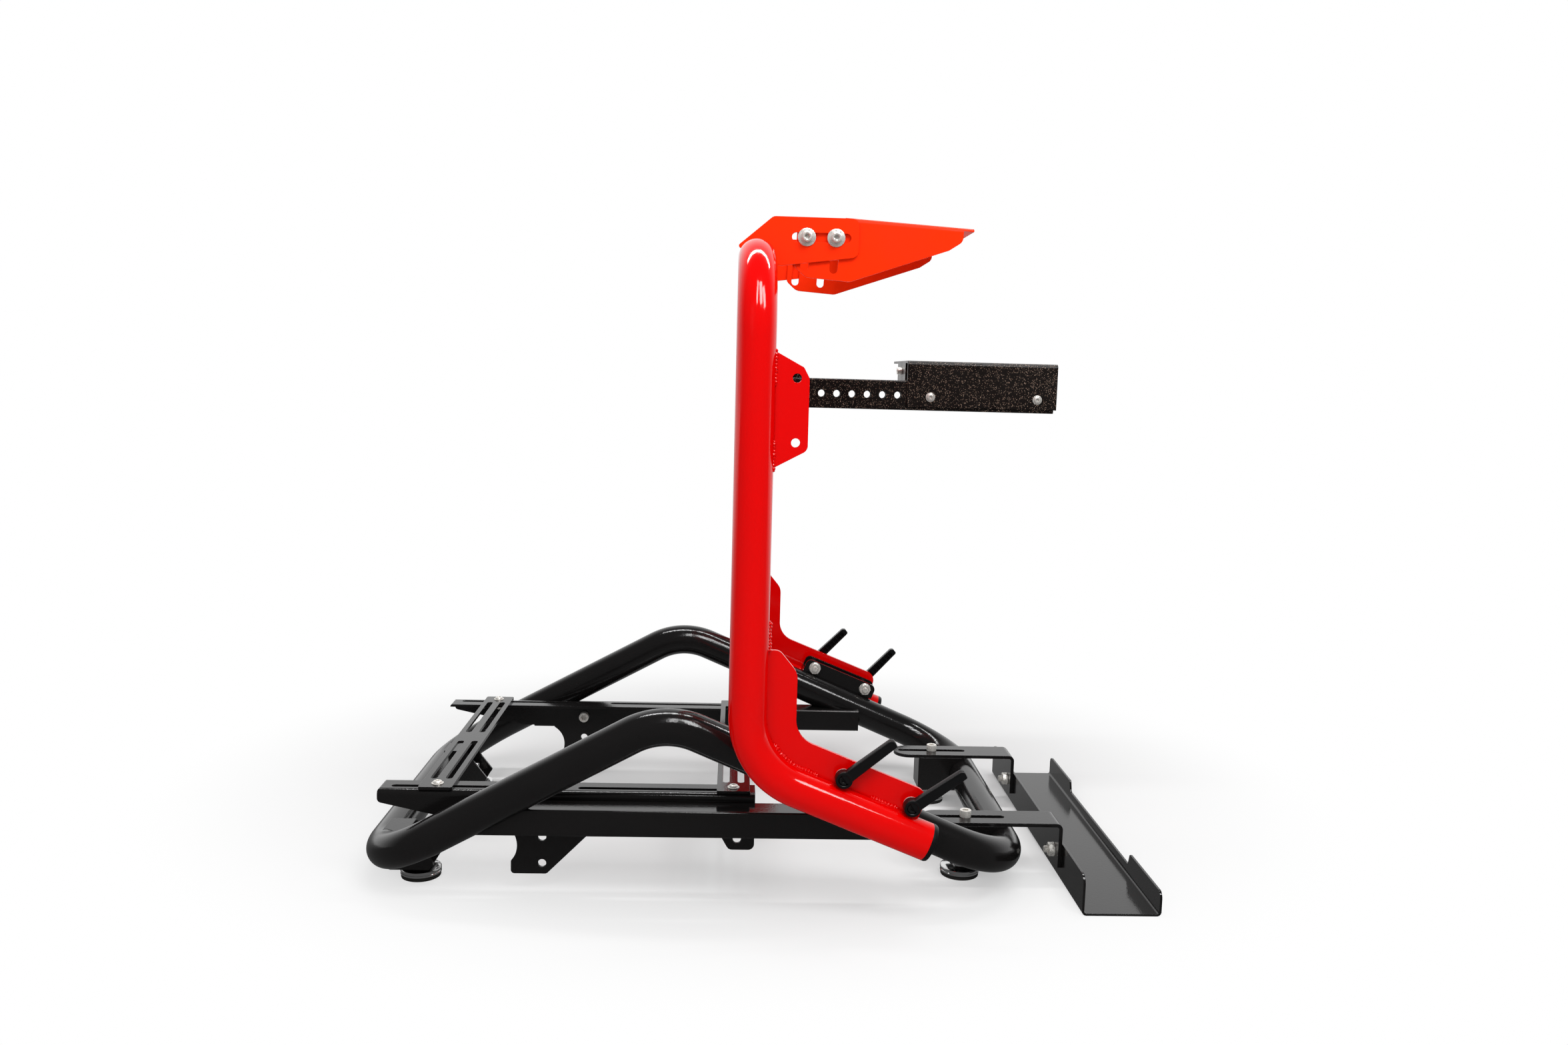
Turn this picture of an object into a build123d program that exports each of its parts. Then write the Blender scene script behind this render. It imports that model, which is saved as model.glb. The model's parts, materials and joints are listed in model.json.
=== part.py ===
"""Wheel stand for driving games: tube base, upright with wheel deck, pedal rails, shifter arm, chair-caster tray.

Millimetres and degrees. +X points to the driver's seat, +Y to the driver's right, +Z up, and the stand is on
Z = 0. Lengths along X are measured from the bolts of the front pedal plate, and widths (names ending in _W) from
the middle plane. Left is the -Y side. Each left piece is drawn once and mirrored for the right.
"""
import os
from math import cos, radians, sin, tan

from build123d import *

# ---------------------------------------------------------------- stock and fasteners
TUBE_OD = 48.3
TUBE_WALL = 2.6
TUBE_R = TUBE_OD / 2
BEND_R = 100.0            # centreline radius of every tube bend
M8 = 8.0                  # screw diameters
M10 = 10.0
CLEAR = 1.0               # a clearance hole or slot is this much wider than its screw
THREAD_GAP = 0.05         # radial gap between a screw and its nut
SLIP = 0.5                # side gap of a sheet that slides past another
HEAD_RATIO = 1.6          # cap head diameter over screw diameter
BUTTON_RATIO = 2.0        # flanged button head diameter over screw diameter
NUT_RATIO = 1.7           # nut width across flats over screw diameter
NUT_HIGH = 0.8            # nut height over screw diameter
WASHER_RATIO = 2.0        # washer diameter over screw diameter
WASHER_T = 1.6

# ---------------------------------------------------------------- base loop
BASE_W = 262.0            # centre of a side tube
FRONT_X = -79.0           # centre of the front cross tube
FRONT_CROSS_Z = 43.0
REAR_X = 766.5            # centre of the rear cross tube
REAR_CROSS_Z = 50.0
FRONT_SLOPE = 28.4        # rise of the side tube behind the front cross tube
REAR_SLOPE = 23.0         # fall of the side tube towards the rear cross tube

BEAM_WIDE = 40.0          # side beam, a rectangular tube under each side tube
BEAM_TALL = 35.0
BEAM_WALL = 2.0
BEAM_Z = 91.0             # underside
BEAM_OUT = 5.0            # the beam's outer face lies this far outside the tube's centre line
BEAM_FRONT_X = 56.0
BEAM_REAR_X = 602.0

# ---------------------------------------------------------------- pedal rails and plates
SHEET = 4.0               # thickness of the folded rails, plates and deck
RAIL_WIDE = 38.0
RAIL_Z = 137.0            # top face
RAIL_FOLD_R = 8.0         # outer radius of the fold
RAIL_FRONT_X = -75.0
RAIL_REAR_X = 420.0
RAIL_NOSE = 17.0          # depth of the web at the front tip
RAIL_WEB = 42.0           # depth of the web between the lobes
RAIL_TAPER_X = 38.0       # where the web reaches that depth
LOBE_HOLE_X = 140.0       # column of height holes at the front lobe
LOBE_HOLE_PITCH = 36.0
LOBE_TOP_HOLE = 26.0      # first hole below the rail's top face
REAR_LOBE_X = 397.0       # column of height holes at the rear lobe
LOBE_HALF = 22.0          # half width of a lobe's bottom edge
LOBE_EDGE = 14.5          # below the lowest hole
RAIL_SLOT_IN = 16.0       # the rail's slots lie this far in from its web's outer face
FRONT_SLOT = (-60.0, 132.0)
REAR_SLOT = (185.0, 408.0)

PLATE_WIDE = 44.0
PLATE_HALF = 227.0        # half length of a pedal plate, along Y
PLATE_SLOT_IN = 22.0      # plate slots run from this W to the next
PLATE_SLOT_OUT = 192.0
PLATE_SLOT_ROW = 10.0     # the two rows lie this far from the plate's middle line
FRONT_PLATE_X = 0.0
REAR_PLATE_X = 391.0

# ---------------------------------------------------------------- feet and their brackets
FOOT_OD = 54.5
PAD_T = 5.0
DISC_T = 9.0
FOOT_HUB_GAP = 1.0        # between a foot's hub and the bracket above it
STUD_ABOVE = 26.0         # the stud's end above the bracket's lower web
BRACKET_T = 4.0
BRACKET_WIDE = 50.0
FRONT_FOOT_X = -31.0
FRONT_FOOT_W = 177.0
FRONT_WEB_Z = 17.0        # underside of a front bracket's lower web
FRONT_BRACKET_TOP = 70.0
FRONT_BRACKET_TIP_X = -8.0
REAR_FOOT_X = 711.0
REAR_WEB_Z = 24.0
REAR_BRACKET_X = 692.0    # face towards the driver's feet

# ---------------------------------------------------------------- caster tray and its two arms
ARM_W = 152.0
ARM_WIDE = 50.0
ARM_T = 5.0
ARM_Z = 78.0              # underside of an arm's flat
ARM_TIP_X = 654.0
ARM_SCREW_X = 716.0
ARM_SLOT = 110.0          # over-all length of the slot
ARM_FLANGE_Z = 20.0       # lower edge of the turned-down flange
ARM_BOLT_Z = 37.0
TRAY_X = 848.0            # outer face of the front wall
TRAY_WIDE = 105.0
TRAY_HALF = 286.0
TRAY_T = 3.0
TRAY_FRONT_TALL = 54.0
TRAY_EAR_TALL = 33.0
TRAY_LOW_TALL = 16.0
TRAY_EAR_W = 158.0        # the ears of the rear wall reach from here to the ends

# ---------------------------------------------------------------- upright
UPRIGHT_GAP = 0.7         # between the upright's tube and the base tube beside it
UPRIGHT_W = BASE_W + TUBE_OD + UPRIGHT_GAP
LEG_X = 406.0
TOP_Z = 835.0             # centre of the top cross tube
KNEE_Z = 201.0            # where the leg's centre line meets that of its lower run
RUN_SLOPE = 22.0          # fall of the lower run
RUN_END_X = 636.0
CAP_T = 7.0

GUSSET_T = 5.0
GUSSET_W = UPRIGHT_W - 5.0          # outer face
GUSSET_WIDE = 37.0        # plate in front of the leg's face
GUSSET_ABOVE = 23.0       # plate above the line of the clamp screws
CLAMP_X = 528.0           # front clamp screw
CLAMP_Z = 190.0
CLAMP_PITCH = 94.0        # along the run
CLAMP_FOLD = 22.0         # depth of the folded bracket's cheeks
CLAMP_END = 17.0          # bracket beyond each screw
CLAMP_T = 5.0
CLAMP_IN = 4.0            # inner cheek's inner face lies this far outside the base tube's centre
LEVER_LONG = 80.0
LEVER_HUB = 22.0
LEVER_HUB_LONG = 17.0
LEFT_LEVER_ANGLES = (38.0, 35.0)     # rise of the front and rear levers' arms
RIGHT_LEVER_ANGLES = (45.0, 46.0)

# ---------------------------------------------------------------- shifter cheeks, arm and platform
CHEEK_T = 5.0
CHEEK_HOLE_X = 456.0
CHEEK_HOLE_Z = 608.0      # lower hole
CHEEK_HOLE_PITCH = 78.0
SHIFT_ARM_TALL = 50.0
SHIFT_ARM_WIDE = 16.0
SHIFT_ARM_WALL = 2.0
SHIFT_ARM_Z = 635.0       # underside
SHIFT_ARM_X = 468.0
SHIFT_ARM_END_X = 923.0
SHIFT_HOLE_X = 526.5      # first of the holes along the arm
SHIFT_HOLE_PITCH = 25.9
SHIFT_HOLE_D = 12.0
SHIFT_HOLES = 6
SHIFT_PLATE_X = (434.0, 497.0)
PLATFORM_X = 671.0
PLATFORM_LONG = 256.0
PLATFORM_DEEP = 190.0
PLATFORM_Z = 718.5        # top face
PLATFORM_FLANGE = 77.5
PLATFORM_SCREW_X = (711.0, 893.5)
PLATFORM_SCREW_UP = 23.0  # screws above the arm's underside
END_FLANGE_TALL = 34.0
END_FLANGE_WIDE = 100.0
END_FLANGE_GAP = 6.0      # between the arm's seat and the end flange
END_SCREW_DOWN = 17.0     # end flange's screw below the platform's top
SHIFTER_ROWS = 120.0      # hole pattern for a shifter, along X and Y
SHIFTER_COLUMNS = 100.0

# ---------------------------------------------------------------- wheel cheeks and deck
WHEEL_W = 141.0           # outer face of a wheel cheek
WHEEL_T = 4.0
WHEEL_CHEEK_TALL = 62.0   # top edge above the top cross tube's centre
DECK_BOLT_RISE = 36.0     # the deck's bolts above the top cross tube's centre
DECK_BOLT_X = (471.7, 510.7)
DECK_SLOT_WIDE = 11.0
CHEEK_SLOT = (452.0, 530.6)
CHEEK_SLOT_WIDE = 12.0
DECK_TILT = 3.2
DECK_TOP = 30.6           # top face above the rear bolt, square to the deck
DECK_LIP = 222.4          # front lip from the rear bolt, along the deck
DECK_BACK = -13.0
DECK_TOP_BACK = 50.0      # the level top starts here; the flanges alone reach back to DECK_BACK
DECK_FLANGE_LOW = 22.0    # top edge of the flanges behind the level top
DECK_SLOT_LOW = -44.2
DECK_SLOT_HIGH = 7.0
DECK_HOLE_U = 150.0       # centre of the wheel base's hole circle
DECK_HOLE_PCD = 93.0
DECK_HOLE_D = 6.6


BASE = (Align.CENTER, Align.CENTER, Align.MIN)
TOP = (Align.CENTER, Align.CENTER, Align.MAX)


# ================================================================ helpers
def outline(*corners):
    """Closed face through (x, z) corners, where a third number rounds that corner."""
    face = make_face(Polyline(*[corner[:2] for corner in corners], close=True))
    for corner in corners:
        if len(corner) == 3:
            face = fillet(face.vertices().sort_by_distance((corner[0], corner[1], 0))[0], corner[2])
    return face


def upright_sheet(face, inner_w, outer_w):
    """Left-hand plate from a face drawn in X and Z, between two distances from the middle plane."""
    return extrude(Plane.XZ.offset(inner_w) * face, amount=outer_w - inner_w)


def level_sheet(face, low_z, high_z):
    """Level plate from a face drawn in X and Y."""
    return extrude(Plane.XY.offset(low_z) * face, amount=high_z - low_z)


def span(low, high):
    """Middle and length of a stretch."""
    return (low + high) / 2, high - low


def slot(x, y, length, width, angle=0.0):
    """Face of a round-ended slot; length is over all."""
    return Pos(x, y) * Rot(0, 0, angle) * SlotOverall(length, width)


def bent_tube(points, diameter):
    """Solid rod along a path whose corners have the shop's bend radius."""
    path = FilletPolyline(*points, radius=BEND_R)
    return sweep(Plane(origin=path @ 0, z_dir=path % 0) * Circle(diameter / 2), path=path)


def bent_pipe(points):
    """Hollow tube along the same kind of path."""
    path = FilletPolyline(*points, radius=BEND_R)
    ring = Circle(TUBE_R) - Circle(TUBE_R - TUBE_WALL)
    return sweep(Plane(origin=path @ 0, z_dir=path % 0) * ring, path=path)


def stand_at(x, y, z, direction):
    """Plane whose normal is the way a screw's head faces."""
    return Plane(origin=(x, y, z), z_dir=direction)


def hexagon(across_flats):
    """Hexagon by its width across flats."""
    return RegularPolygon(across_flats / 2, 6, major_radius=False)


def cap_screw(diameter, length):
    """Socket cap screw: underside of the head at 0, head up, shank down."""
    head = Cylinder(diameter * HEAD_RATIO / 2, diameter, align=BASE)
    head = chamfer(head.edges().sort_by(Axis.Z)[-1], diameter * 0.06)
    head -= Pos(0, 0, diameter * 0.45) * extrude(hexagon(diameter * 0.8), diameter)
    return head + Cylinder(diameter / 2, length, align=TOP)


def button_screw(diameter, length):
    """Flanged button screw: underside of the flange at 0, dome up, shank down."""
    radius = diameter * BUTTON_RATIO / 2
    rise = diameter * 0.5
    profile = make_face(
        Polyline((0, 0), (radius, 0), (radius, diameter * 0.12))
        + ThreePointArc((radius, diameter * 0.12), (radius * 0.62, rise * 0.82), (diameter * 0.32, rise))
        + Polyline((diameter * 0.32, rise), (0, rise), (0, 0))
    )
    head = revolve(Plane.XZ * profile, Axis.Z)
    head -= Pos(0, 0, diameter * 0.2) * extrude(hexagon(diameter * 0.6), diameter)
    return head + Cylinder(diameter / 2, length, align=TOP)


def hex_nut(diameter, seat=0.0):
    """Nut standing on its seat at the given height, bored to clear its screw by the thread gap."""
    across = diameter * NUT_RATIO
    body = extrude(hexagon(across), diameter * NUT_HIGH)
    flange = Cylinder(diameter * WASHER_RATIO / 2, diameter * 0.18, align=BASE)
    bore = Cylinder(diameter / 2 + THREAD_GAP, diameter * 2)
    return Pos(0, 0, seat) * (body + flange - bore)


def washer(diameter, outer, thickness=WASHER_T):
    """Flat washer standing on 0."""
    bore = Cylinder(diameter / 2 + CLEAR / 4, thickness, align=BASE)
    return Cylinder(outer / 2, thickness, align=BASE) - bore


def drill(diameter, plane, depth=200.0):
    """Cylinder that bores a clearance hole both ways from a plane."""
    return plane * Cylinder((diameter + CLEAR) / 2, depth)


def right_of(shape):
    """Mirror image on the driver's right."""
    return mirror(shape, about=Plane.XZ)


def group(*shapes):
    """Several separate solids as one shape."""
    return Compound(children=[solid for shape in shapes for solid in shape.solids()])


# ================================================================ derived places
front_rise = tan(radians(FRONT_SLOPE))
rear_fall = tan(radians(REAR_SLOPE))
apex_x = (REAR_CROSS_Z - FRONT_CROSS_Z + REAR_X * rear_fall + FRONT_X * front_rise) / (front_rise + rear_fall)
apex_z = FRONT_CROSS_Z + (apex_x - FRONT_X) * front_rise

run_fall = tan(radians(RUN_SLOPE))
run_end_z = KNEE_Z - (RUN_END_X - LEG_X) * run_fall
run_axis = Vector(cos(radians(RUN_SLOPE)), 0, -sin(radians(RUN_SLOPE)))
clamp_points = [
    (CLAMP_X, CLAMP_Z),
    (CLAMP_X + CLAMP_PITCH * run_axis.X, CLAMP_Z + CLAMP_PITCH * run_axis.Z),
]

beam_outer_w = BASE_W + BEAM_OUT
web_w = beam_outer_w - BEAM_WIDE          # outer face of a pedal rail's web, flush with the beam's inner face
slot_w = web_w - RAIL_SLOT_IN             # line of the rails' slots and of the plates' screws
plate_z = RAIL_Z + SHEET
rail_bolt_z = RAIL_Z - LOBE_TOP_HOLE

clamp_inner_w = BASE_W + CLAMP_IN
gusset_inner_w = GUSSET_W - GUSSET_T
deck_half = WHEEL_W - WHEEL_T - SLIP      # outer face of the deck's flanges
arm_seat_w = UPRIGHT_W - CHEEK_T / 2      # inner face of a shifter cheek
arm_outer_w = arm_seat_w - CHEEK_T        # outer face of the arm's tube, on its end plate
arm_inner_w = arm_outer_w - SHIFT_ARM_WIDE
platform_screw_z = SHIFT_ARM_Z + PLATFORM_SCREW_UP
end_flange_w = arm_seat_w + END_FLANGE_GAP
end_screw_z = PLATFORM_Z - END_SCREW_DOWN
deck_bolt_z = TOP_Z + DECK_BOLT_RISE

base_points = [
    (FRONT_X, 0, FRONT_CROSS_Z),
    (FRONT_X, -BASE_W, FRONT_CROSS_Z),
    (apex_x, -BASE_W, apex_z),
    (REAR_X, -BASE_W, REAR_CROSS_Z),
    (REAR_X, 0, REAR_CROSS_Z),
]
leg_points = [
    (RUN_END_X, -UPRIGHT_W, run_end_z),
    (LEG_X, -UPRIGHT_W, KNEE_Z),
    (LEG_X, -UPRIGHT_W, TOP_Z),
    (LEG_X, UPRIGHT_W, TOP_Z),
    (LEG_X, UPRIGHT_W, KNEE_Z),
    (RUN_END_X, UPRIGHT_W, run_end_z),
]
base_rod = bent_tube(base_points, TUBE_OD)
upright_rod = bent_tube(leg_points, TUBE_OD)


# ================================================================ base frame
def base_tube_half():
    """Half of the base loop: cross tubes joined by a side tube that rises to a rounded peak."""
    return bent_pipe(base_points)


def side_beam():
    """Rectangular tube under the side tube, its ends cut to the tube's round, tapped for the rail bolts."""
    length = BEAM_REAR_X - BEAM_FRONT_X
    section = RectangleRounded(BEAM_WIDE, BEAM_TALL, 3)
    section -= RectangleRounded(BEAM_WIDE - 2 * BEAM_WALL, BEAM_TALL - 2 * BEAM_WALL, 1)
    across = Plane(origin=(BEAM_FRONT_X, -web_w - BEAM_WIDE / 2, BEAM_Z + BEAM_TALL / 2), z_dir=(1, 0, 0))
    beam = extrude(across * Rot(0, 0, 90) * section, amount=length) - base_rod
    for x in (LOBE_HOLE_X, REAR_LOBE_X):
        thread = Cylinder(M10 / 2 + THREAD_GAP, BEAM_WIDE)
        beam -= stand_at(x, -web_w, rail_bolt_z, (0, 1, 0)) * thread
    return beam.solids().sort_by(SortBy.VOLUME)[-1]


# ================================================================ pedal rails and plates
def rail_side_face():
    """Side view of a rail: a tapered nose, a straight web and two lobes with height holes."""
    web_z = RAIL_Z - RAIL_WEB
    low_hole = rail_bolt_z - 2 * LOBE_HOLE_PITCH
    rear_low_hole = rail_bolt_z - LOBE_HOLE_PITCH
    front_lobe = low_hole - LOBE_EDGE
    rear_lobe = rear_low_hole - LOBE_EDGE
    rise = web_z - front_lobe
    face = outline(
        (RAIL_FRONT_X, RAIL_Z, 3),
        (RAIL_REAR_X, RAIL_Z),
        (RAIL_REAR_X, rear_lobe, 8),
        (REAR_LOBE_X - LOBE_HALF / 2, rear_lobe, 8),
        (REAR_LOBE_X - LOBE_HALF / 2 - 20, web_z, 12),
        (LOBE_HOLE_X + rise + 6, web_z, 8),
        (LOBE_HOLE_X + 6, front_lobe, 6),
        (LOBE_HOLE_X - 2 * LOBE_HALF + 3, front_lobe, 5),
        (LOBE_HOLE_X - 2 * LOBE_HALF + 3, front_lobe + 20),
        (LOBE_HOLE_X - 2 * LOBE_HALF - 6, web_z),
        (RAIL_TAPER_X, web_z, 12),
        (RAIL_FRONT_X, RAIL_Z - RAIL_NOSE, 6),
    )
    return face - Pos(LOBE_HOLE_X - 2 * LOBE_HALF - 22, low_hole + 24) * Circle(33)


def pedal_rail():
    """Folded rail: slotted top flange and a web that is bolted to the side beam."""
    deep = RAIL_Z - (rail_bolt_z - 2 * LOBE_HOLE_PITCH - LOBE_EDGE)
    angle = outline(
        (-web_w, RAIL_Z, RAIL_FOLD_R),
        (-web_w + RAIL_WIDE, RAIL_Z),
        (-web_w + RAIL_WIDE, RAIL_Z - SHEET),
        (-web_w + SHEET, RAIL_Z - SHEET, RAIL_FOLD_R - SHEET),
        (-web_w + SHEET, RAIL_Z - deep),
        (-web_w, RAIL_Z - deep),
    )
    length = RAIL_REAR_X - RAIL_FRONT_X
    folded = extrude(Plane(origin=(RAIL_FRONT_X, 0, 0), x_dir=(0, 1, 0), z_dir=(1, 0, 0)) * angle, amount=length)
    rail = folded & upright_sheet(rail_side_face(), web_w - RAIL_WIDE, web_w)
    for low, high in (FRONT_SLOT, REAR_SLOT):
        middle, long = span(low, high)
        rail -= level_sheet(slot(middle, -slot_w, long, M8 + CLEAR), RAIL_Z - 2 * SHEET, RAIL_Z + SHEET)
    for x, count in ((LOBE_HOLE_X, 3), (REAR_LOBE_X, 2)):
        for row in range(count):
            rail -= drill(M10, stand_at(x, -web_w, rail_bolt_z - row * LOBE_HOLE_PITCH, (0, 1, 0)), 20)
    return rail


def rail_bolts():
    """Cap screws through the rails' top holes into the beams."""
    bolts = []
    for x in (LOBE_HOLE_X, REAR_LOBE_X):
        seat = stand_at(x, -web_w + SHEET, rail_bolt_z, (0, 1, 0))
        bolts.append(seat * cap_screw(M10, SHEET + BEAM_WALL + 3))
    return group(*bolts, *[right_of(bolt) for bolt in bolts])


def pedal_plate(x):
    """Flat plate across the rails with two rows of long slots."""
    face = fillet(Rectangle(PLATE_WIDE, 2 * PLATE_HALF).vertices(), 3)
    middle, long = span(PLATE_SLOT_IN, PLATE_SLOT_OUT)
    for side in (-1, 1):
        for row in (-PLATE_SLOT_ROW, PLATE_SLOT_ROW):
            face -= slot(row, side * middle, long, M8 + CLEAR, 90)
        face -= Pos(0, side * slot_w) * Circle((M8 + CLEAR) / 2)
    return level_sheet(Pos(x, 0) * face, RAIL_Z, plate_z)


def plate_bolts(x):
    """Button screws that hold a pedal plate to the rails."""
    grip = 2 * SHEET + M8 * NUT_HIGH + 2
    screws = [stand_at(x, side * slot_w, plate_z, (0, 0, 1)) * button_screw(M8, grip) for side in (-1, 1)]
    return group(*screws)


def plate_nuts(x):
    """Flange nuts under the rails."""
    seats = [stand_at(x, side * slot_w, RAIL_Z - SHEET, (0, 0, -1)) for side in (-1, 1)]
    return group(*[seat * hex_nut(M8) for seat in seats])


# ================================================================ feet
def front_foot_bracket():
    """Folded bracket inside a front corner: top flap on the tube, two slanted cheeks and a lower web."""
    inner_w = FRONT_FOOT_W - BRACKET_WIDE / 2
    outer_w = inner_w + BRACKET_WIDE
    cheek = outline(
        (FRONT_X + 2, FRONT_BRACKET_TOP),
        (FRONT_X + 36, FRONT_BRACKET_TOP, 3),
        (FRONT_BRACKET_TIP_X, FRONT_WEB_Z + 8, 3),
        (FRONT_BRACKET_TIP_X - 6, FRONT_WEB_Z, 3),
        (FRONT_X + 12, FRONT_WEB_Z),
        (FRONT_X, FRONT_CROSS_Z),
    )
    inside = outline(
        (FRONT_X - 1, FRONT_BRACKET_TOP - BRACKET_T),
        (FRONT_X + 60, FRONT_BRACKET_TOP - BRACKET_T),
        (FRONT_BRACKET_TIP_X + 10, FRONT_WEB_Z + BRACKET_T),
        (FRONT_X - 1, FRONT_WEB_Z + BRACKET_T),
    )
    window = outline(
        (FRONT_X + 36, FRONT_BRACKET_TOP + 1),
        (FRONT_BRACKET_TIP_X + 40, FRONT_BRACKET_TOP + 1),
        (FRONT_BRACKET_TIP_X + 40, FRONT_WEB_Z + BRACKET_T),
        (FRONT_X + 36, FRONT_WEB_Z + BRACKET_T),
    )
    body = upright_sheet(cheek, inner_w, outer_w)
    body -= upright_sheet(inside, inner_w + BRACKET_T, outer_w - BRACKET_T)
    body -= upright_sheet(window, inner_w + BRACKET_T, outer_w - BRACKET_T)
    body -= base_rod
    body -= drill(M10, stand_at(FRONT_FOOT_X, -FRONT_FOOT_W, FRONT_WEB_Z, (0, 0, 1)), 20)
    return body.solids().sort_by(SortBy.VOLUME)[-1]


def rear_foot_bracket():
    """Folded box inside the rear cross tube: it carries the tray arm on top and a foot below."""
    inner_w = ARM_W - BRACKET_WIDE / 2
    outer_w = inner_w + BRACKET_WIDE
    shell = upright_sheet(
        outline((REAR_BRACKET_X, ARM_Z, 3), (REAR_X, ARM_Z), (REAR_X, REAR_WEB_Z), (REAR_BRACKET_X, REAR_WEB_Z, 3)),
        inner_w,
        outer_w,
    )
    inside = outline(
        (REAR_BRACKET_X + BRACKET_T, ARM_Z - BRACKET_T),
        (REAR_X + 1, ARM_Z - BRACKET_T),
        (REAR_X + 1, REAR_WEB_Z + BRACKET_T),
        (REAR_BRACKET_X + BRACKET_T, REAR_WEB_Z + BRACKET_T),
    )
    shell -= upright_sheet(inside, inner_w + BRACKET_T, outer_w - BRACKET_T)
    shell -= base_rod
    shell -= drill(M10, stand_at(REAR_FOOT_X, -ARM_W, REAR_WEB_Z, (0, 0, 1)), 20)
    shell -= drill(M10, stand_at(ARM_SCREW_X, -ARM_W, ARM_Z, (0, 0, 1)), 20)
    return shell.solids().sort_by(SortBy.VOLUME)[-1]


FOOT_PLACES = {
    "front": (FRONT_FOOT_X, FRONT_FOOT_W, FRONT_WEB_Z),
    "rear": (REAR_FOOT_X, ARM_W, REAR_WEB_Z),
}


def foot_disc(x, w, web_z):
    """Levelling foot: a turned disc with a hub and its stud."""
    top = PAD_T + DISC_T
    disc = Pos(0, 0, PAD_T) * Cylinder(FOOT_OD / 2, DISC_T, align=BASE)
    disc = chamfer(disc.edges().filter_by(GeomType.CIRCLE).sort_by(Axis.Z)[-1], 1.5)
    hub = Pos(0, 0, top) * Cylinder(M10, web_z - top - FOOT_HUB_GAP, align=BASE)
    stud = Pos(0, 0, top) * Cylinder(M10 / 2, web_z + STUD_ABOVE - top, align=BASE)
    return Pos(x, -w, 0) * (disc + hub + stud)


def foot_pad(x, w):
    """Rubber sole of a foot."""
    pad = Cylinder(FOOT_OD / 2 - 0.8, PAD_T, align=BASE)
    return Pos(x, -w, 0) * chamfer(pad.edges().filter_by(GeomType.CIRCLE).sort_by(Axis.Z)[0], 1.0)


def foot_nuts():
    """Nuts on the brackets' lower webs, which the foot studs turn in."""
    nuts = [Pos(x, -w, web_z + BRACKET_T) * hex_nut(M10) for x, w, web_z in FOOT_PLACES.values()]
    return group(*nuts, *[right_of(nut) for nut in nuts])


# ================================================================ caster tray
def tray_arm():
    """Slotted strip with a round tip, folded down at its end onto the tray's front wall."""
    half = ARM_WIDE / 2
    side = outline(
        (ARM_TIP_X, ARM_Z + ARM_T),
        (TRAY_X, ARM_Z + ARM_T, ARM_T + 4),
        (TRAY_X, ARM_FLANGE_Z),
        (TRAY_X - ARM_T, ARM_FLANGE_Z),
        (TRAY_X - ARM_T, ARM_Z, 4),
        (ARM_TIP_X, ARM_Z),
    )
    strip = upright_sheet(side, ARM_W - half, ARM_W + half)
    middle, length = span(ARM_TIP_X, TRAY_X)
    plan = Pos(middle, -ARM_W) * Rectangle(length, ARM_WIDE)
    plan = fillet(plan.vertices().group_by(Axis.X)[0], half - 0.5)
    strip &= level_sheet(plan, 0, ARM_Z + 2 * ARM_T)
    strip -= level_sheet(slot(ARM_SCREW_X, -ARM_W, ARM_SLOT, M10 + CLEAR), ARM_Z - ARM_T, ARM_Z + 2 * ARM_T)
    return strip - drill(M10, stand_at(TRAY_X, -ARM_W, ARM_BOLT_Z, (1, 0, 0)), 20)


def arm_screws():
    """Cap screws that clamp the arms to the rear brackets, with their nuts beneath."""
    place = stand_at(ARM_SCREW_X, -ARM_W, ARM_Z + ARM_T, (0, 0, 1))
    grip = ARM_T + BRACKET_T
    screw = place * cap_screw(M10, grip + M10)
    nut = stand_at(ARM_SCREW_X, -ARM_W, ARM_Z - BRACKET_T, (0, 0, -1)) * hex_nut(M10)
    return group(screw, nut, right_of(screw), right_of(nut))


def tray_bolts():
    """Screws from inside the tray through its wall and the arm."""
    grip = TRAY_T + ARM_T + M10 * NUT_HIGH + 6
    screw = stand_at(TRAY_X + TRAY_T, -ARM_W, ARM_BOLT_Z, (1, 0, 0)) * button_screw(M10, grip)
    return group(screw, right_of(screw))


def tray_nuts():
    """Flange nuts on the arms' outer faces."""
    nut = stand_at(TRAY_X - ARM_T, -ARM_W, ARM_BOLT_Z, (-1, 0, 0)) * hex_nut(M10)
    return group(nut, right_of(nut))


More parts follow.
